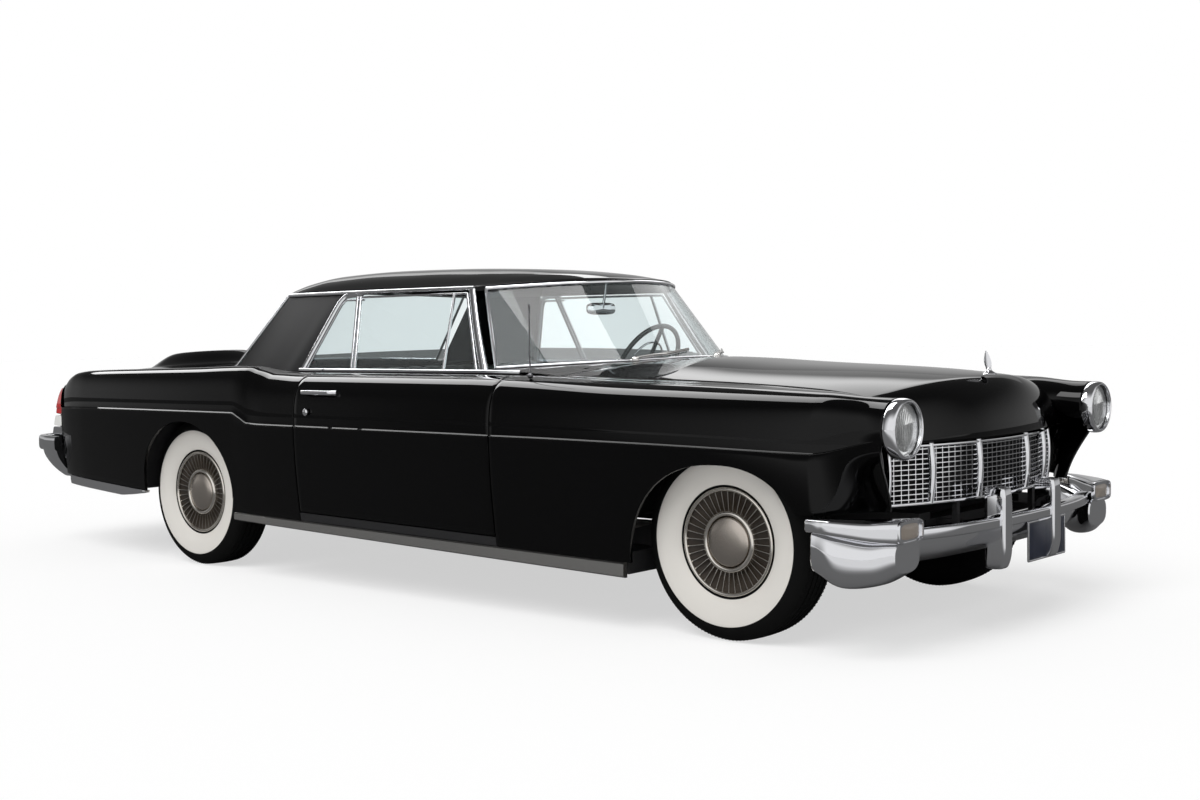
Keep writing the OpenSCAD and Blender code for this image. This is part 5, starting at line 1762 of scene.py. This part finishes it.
@dataclass
class Cabin:
    """Padded seats, mirror, dials and the ring in the steering wheel."""

    kit: Kit
    shrink: float = 12.0
    cell: float = 0.016
    frames: int = 20
    pressure: float = 4.0
    cap: float = 0.020
    pleat_pitch: float = 0.118
    pleat_depth: float = 0.009
    pleat_width: float = 0.016
    mirror_x: float = 690.0
    mirror_z: float = 1223.0
    wheel_tilt: float = 62.0
    wheel_hub: tuple[float, float, float] = (DOOR_FRONT - 288, 380.0, 960.0)

    def build(self) -> None:
        """Makes what shows through the glass."""
        ra = REAR_AXLE
        forms = (
            ("front_cushion", [(-180, 456), (398, 473), (417, 520), (380, 573), (-152, 545)], 690.0,
             ["front_seat"]),
            ("front_back", [(-184, 452), (-152, 546), (-331, 984), (-385, 996), (-428, 974), (-300, 471)],
             690.0, ()),
            ("rear_cushion", [(ra + 644, 445), (ra + 690, 471), (ra + 690, 580), (ra + 650, 611),
                              (ra + 216, 602), (ra + 170, 560), (ra + 360, 503)], 600.0, ["rear_seat"]),
            ("rear_back", [(ra + 160, 562), (ra + 215, 602), (ra + 70, 924), (ra + 30, 941), (ra - 14, 925),
                           (ra + 136, 562)], 600.0, ()),
        )
        for name, outline, half, nodes in forms:
            self._padded(name, np.array(outline, float), half, nodes)
        plinth = Draft().box((-196, -636, 331), (296, -154, 455)).with_mirror()
        self.kit.make(plinth, "front_seat_plinths", CARPET, "body")
        self._mirror()
        self._dials()
        self._horn_ring()

    def _padded(self, name: str, outline: np.ndarray, half: float, nodes: Sequence[str]) -> None:
        """Cushion that is drawn a little small and blown up by a short cloth simulation.

        Args:
            name: piece name.
            outline: its profile, rows of x and height.
            half: half its width.
            nodes: CAD nodes that it stands for.
        """
        middle = outline.mean(axis=0)
        size = outline.max(axis=0) - outline.min(axis=0)
        small = middle + (outline - middle) * (1 - 2 * self.shrink / size)
        form = Draft().prism(small, -half + self.shrink, half - self.shrink)
        obj = form.build(name, self.kit.shop.get(LEATHER))
        remesh = obj.modifiers.new("cells", "REMESH")
        remesh.mode = "VOXEL"
        remesh.voxel_size = self.cell
        self._bake(obj)
        self._inflate(obj)
        self._pleat(obj)
        obj.data.shade_smooth()
        self.kit.place(obj, "body", nodes, "seat_leather")

    @staticmethod
    def _bake(obj: bpy.types.Object) -> None:
        """Turns an object's modifiers into a plain mesh.

        Args:
            obj: the piece.
        """
        graph = bpy.context.evaluated_depsgraph_get()
        graph.update()
        mesh = bpy.data.meshes.new_from_object(obj.evaluated_get(graph))
        obj.modifiers.clear()
        obj.data = mesh
        mesh.name = obj.name

    def _inflate(self, obj: bpy.types.Object) -> None:
        """Cloth under pressure for twenty frames; no point moves further than the cap.

        Args:
            obj: the piece.
        """
        scene = bpy.context.scene
        start = np.empty(len(obj.data.vertices) * 3)
        obj.data.vertices.foreach_get("co", start)
        cloth = obj.modifiers.new("padding", "CLOTH")
        cloth.settings.quality = 3
        cloth.settings.mass = 0.4
        cloth.settings.use_pressure = True
        cloth.settings.uniform_pressure_force = self.pressure
        cloth.settings.effector_weights.gravity = 0.0
        cloth.point_cache.frame_start = 1
        cloth.point_cache.frame_end = self.frames
        for number in range(1, self.frames + 1):
            scene.frame_set(number)
        self._bake(obj)
        scene.frame_set(1)
        end = np.empty_like(start)
        obj.data.vertices.foreach_get("co", end)
        step = (end - start).reshape(-1, 3)
        far = np.linalg.norm(step, axis=1, keepdims=True)
        step *= np.minimum(1.0, self.cap / np.maximum(far, TINY))
        obj.data.vertices.foreach_set("co", start + step.reshape(-1))
        obj.data.update()

    def _pleat(self, obj: bpy.types.Object) -> None:
        """Presses sewn channels into a cushion, across its width.

        Args:
            obj: the piece.
        """
        n = len(obj.data.vertices)
        points, face = np.empty(n * 3), np.empty(n * 3)
        obj.data.vertices.foreach_get("co", points)
        obj.data.vertex_normals.foreach_get("vector", face)
        away = np.abs((points[1::3] / self.pleat_pitch + 0.5) % 1.0 - 0.5) * self.pleat_pitch
        depth = self.pleat_depth * np.exp(-((away / self.pleat_width) ** 2))
        obj.data.vertices.foreach_set("co", points - face * np.repeat(depth, 3))
        obj.data.update()

    def _mirror(self) -> None:
        """Mirror on its stalk behind the windscreen."""
        draft = Draft()
        rise = np.array([[0], [self.mirror_z]])
        rings = [stacked(self.mirror_x + x, *(oval(190 * s, 54 * s, 40, 3.4).T + rise))
                 for x, s in ((-9, 0.94), (-8, 1.0), (2, 1.0), (8, 0.9), (12, 0.5), (13, 0.02))]
        draft.loft(np.stack(rings))
        stalk = smooth_path([(698, 0, 1226), (708, 0, 1268), (716, 0, 1320), (724, 0, 1362)], 5)
        draft.rail(stalk, 10, 12, 14, (1, 0, 0))
        self.kit.bright(draft, "rear_view_mirror")

    def _dials(self) -> None:
        """Dials in the dashboard."""
        rings, faces = Draft(), Draft()
        for y, r in ((300, 46), (400, 58), (500, 46), (-60, 34)):
            at = (DOOR_FRONT - 176, y, 850)
            rings.lathe([(r - 8, 2), (r - 8, -12), (r - 4, -16), (r, -13), (r, 2)], at, "x", 48)
            faces.lathe([(0, 2), (r - 7, 2), (r - 7, -5), (0, -6)], at, "x", 48)
        self.kit.bright(rings, "dial_rings")
        self.kit.make(faces, "dial_faces", DARK, "body")

    def _horn_ring(self) -> None:
        """Bright ring and cap in the steering wheel."""
        a = np.linspace(0, 2 * math.pi, 14, endpoint=False)
        ring = np.stack([112 + 5 * np.cos(a), 16 + 5 * np.sin(a)], axis=1)
        cap = smooth_path([(0, 24), (24, 23), (38, 19), (44, 12), (45, 4)], 5)
        draft = Draft().lathe(ring, (0, 0, 0), "x", 72)
        draft.lathe(np.concatenate([cap, [(0, 4)]]), (0, 0, 0), "x", 48)
        tilt = math.radians(self.wheel_tilt)
        c, s = math.cos(tilt), math.sin(tilt)
        turn = np.array([[-s, 0, c], [0, -1, 0], [c, 0, s]])
        draft.points = [p @ turn + np.array(self.wheel_hub) for p in draft.points]
        self.kit.bright(draft, "horn_ring", "steering_wheel")


@dataclass
class Studio:
    """Floor, lights, world and the photograph's camera."""

    eye: tuple[float, float, float] = (5.3282, -5.3618, 1.1434)
    yaw: float = 130.963
    pitch: float = -2.677
    roll: float = -0.868
    lens: float = 47.06
    floor_glow: float = 0.6
    floor_in_chrome: tuple[float, ...] = (2.9, 4.2, 0.14, 0.72)
    dome: float = 0.45
    toward_lens: tuple[float, float, float] = (0.75, -0.66, 0.0)
    away: tuple[float, float, float] = (-0.66, 0.75, 0.0)
    skyline: float = 0.36
    wall: float = 0.72
    gloom: float = 0.10
    bank_height: float = 2.6
    sun_aim: tuple[float, float, float] = (-0.15, 0.80, -1.0)
    sun_angle: float = 45.0

    def build(self) -> None:
        """Sets the stage."""
        scene = bpy.context.scene
        scene.view_settings.view_transform = "Standard"
        self._camera(scene)
        self._floor()
        self._world(scene)
        self._lights()

    def _camera(self, scene: bpy.types.Scene) -> None:
        """Camera at the photograph's viewing angle.

        Args:
            scene: the scene that it shows.
        """
        yaw, pitch, roll = (math.radians(a) for a in (self.yaw, self.pitch, self.roll))
        d = Vector((math.cos(yaw) * math.cos(pitch), math.sin(yaw) * math.cos(pitch), math.sin(pitch)))
        r = d.cross(Vector((0, 0, 1))).normalized()
        u = r.cross(d)
        right = r * math.cos(roll) + u * math.sin(roll)
        up = u * math.cos(roll) - r * math.sin(roll)
        data = bpy.data.cameras.new("photo_camera")
        data.sensor_width = 36.0
        data.lens = self.lens
        data.clip_end = 200.0
        cam = bpy.data.objects.new("photo_camera", data)
        m = Matrix((right, up, -d)).transposed().to_4x4()
        m.translation = Vector(self.eye)
        cam.matrix_world = m
        scene.collection.objects.link(cam)
        scene.camera = cam

    def _floor(self) -> None:
        """Floor that keeps the shadow, shows a share of white, and is dim in chrome near the car."""
        mesh = bpy.data.meshes.new("floor")
        r = 60.0
        mesh.from_pydata([(-r, -r, 0), (r, -r, 0), (r, r, 0), (-r, r, 0)], [], [(0, 1, 2, 3)])
        floor = bpy.data.objects.new("floor", mesh)
        mat = bpy.data.materials.new("floor_white")
        mat.use_nodes = True
        bench = Bench(mat.node_tree)
        bench.nodes.remove(bench.nodes["Principled BSDF"])
        path = bench.add("LightPath").outputs
        ahead = bench.dot(bench.add("NewGeometry").outputs["Position"], self.toward_lens)
        lit = bench.add("BsdfDiffuse", {"Color": WHITE})
        dim = bench.add("BsdfDiffuse", {"Color": bench.fade(ahead, *self.floor_in_chrome)})
        white = bench.add("Emission", {"Color": WHITE})
        share = bench.math("MULTIPLY", path["Is Camera Ray"], self.floor_glow)
        shown = bench.mix(path["Is Glossy Ray"], bench.mix(share, lit, white), dim)
        bench.links.new(shown.outputs[0], bench.nodes["Material Output"].inputs["Surface"])
        mesh.materials.append(mat)
        bpy.context.scene.collection.objects.link(floor)

    def _world(self, scene: bpy.types.Scene) -> None:
        """White for the camera and through glass; a backdrop and a dark room for reflections.

        Args:
            scene: the scene to light.
        """
        world = bpy.data.worlds.new("studio")
        scene.world = world
        world.use_nodes = True
        bench = Bench(world.node_tree)
        bench.nodes.clear()
        ray = bench.add("TexCoord").outputs["Generated"]
        height = bench.add("SeparateXYZ", {0: ray}).outputs["Z"]
        low = bench.math("SUBTRACT", 1.0, bench.fade(height, 0.05, 0.40))
        skyline = bench.math("MULTIPLY", bench.fade(bench.dot(ray, self.away), -0.1, 0.3), low)
        ahead = bench.fade(bench.dot(ray, self.toward_lens), -0.1, 0.35)
        wall = bench.math("MULTIPLY", ahead, bench.fade(height, -0.05, 0.0))
        wall = bench.math("MULTIPLY", wall, bench.math("SUBTRACT", 1.0, bench.fade(height, 0.55, 0.95)))
        room = bench.math("ADD", bench.math("MULTIPLY", skyline, self.skyline),
                          bench.math("MULTIPLY", wall, self.wall))
        glossy = bench.add("Background", {"Color": bench.math("ADD", room, self.gloom)})
        soft = bench.add("Background", {"Color": WHITE, "Strength": self.dome})
        white = bench.add("Background", {"Color": WHITE})
        path = bench.add("LightPath").outputs
        seen = bench.math("MAXIMUM", path["Is Camera Ray"], path["Is Transmission Ray"])
        final = bench.mix(seen, bench.mix(path["Is Glossy Ray"], soft, glossy), white)
        bench.add("OutputWorld", {"Surface": final.outputs[0]})

    def _lights(self) -> None:
        """A very wide sun that shapes the shadow, and three banks for reflections."""
        data = bpy.data.lights.new("wide_sun", "SUN")
        aim = Vector(self.sun_aim).normalized()
        data.energy = math.pi * (1.0 - self.dome) / -aim.z
        data.angle = math.radians(self.sun_angle)
        sun = bpy.data.objects.new("wide_sun", data)
        sun.rotation_euler = aim.to_track_quat("-Z", "Y").to_euler()
        sun.visible_glossy = False
        bpy.context.scene.collection.objects.link(sun)
        self._bank("bank_far_front", (2.7, 4.5, 2.2, 0.4),
                   ((-2.2, 2.6), (-0.5, 2.3), (0.4, 1.5), (1.8, 1.1), (1.8, 7.0), (-2.2, 7.0)))
        self._bank("bank_far_rear", (2.2, 3.4, 1.0, 0.7),
                   ((-6.0, 2.2), (-2.2, 2.2), (-2.2, 3.4), (-6.0, 3.4)))
        self._bank("bank_over_crease", (-1.1, 0.0, 6.5, 6.5),
                   ((-5.5, -1.1), (1.9, -1.1), (1.9, 0.0), (-5.5, 0.0)))

    def _bank(self, name: str, glow: tuple[float, ...], outline: Sequence[tuple[float, float]]) -> None:
        """Level light bank that only reflections see.

        Args:
            name: its name.
            glow: near and far Y of its fade, strength at each.
            outline: corners in plan, in metres.
        """
        mesh = bpy.data.meshes.new(name)
        corners = [(x, y, self.bank_height) for x, y in outline]
        mesh.from_pydata(corners, [], [tuple(range(len(corners)))])
        mat = bpy.data.materials.new(name)
        mat.use_nodes = True
        bench = Bench(mat.node_tree)
        shader = bench.nodes["Principled BSDF"]
        shader.inputs["Base Color"].default_value = (0.0, 0.0, 0.0, 1.0)
        shader.inputs["Emission Color"].default_value = WHITE
        place = bench.add("NewGeometry").outputs["Position"]
        across = bench.add("SeparateXYZ", {0: place}).outputs["Y"]
        bench.links.new(bench.fade(across, *glow), shader.inputs["Emission Strength"])
        mesh.materials.append(mat)
        bank = bpy.data.objects.new(name, mesh)
        bank.visible_camera = bank.visible_diffuse = bank.visible_shadow = bank.visible_transmission = False
        bpy.context.scene.collection.objects.link(bank)


def main() -> None:
    """Builds the whole picture."""
    logging.basicConfig(level=logging.INFO, format="%(name)s: %(message)s")
    for obj in list(bpy.data.objects):
        bpy.data.objects.remove(obj)
    kit = Kit(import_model())
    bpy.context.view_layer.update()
    CadDress(kit).dress()
    BodyShell(kit).build()
    Glazing(kit).build()
    repeater = Repeater()
    Wheels(kit, repeater).build()
    FrontEnd(kit, repeater).build()
    Brightwork(kit).build()
    TailEnd(kit).build()
    Cabin(kit).build()
    Studio().build()


if __name__ == "__main__":
    main()
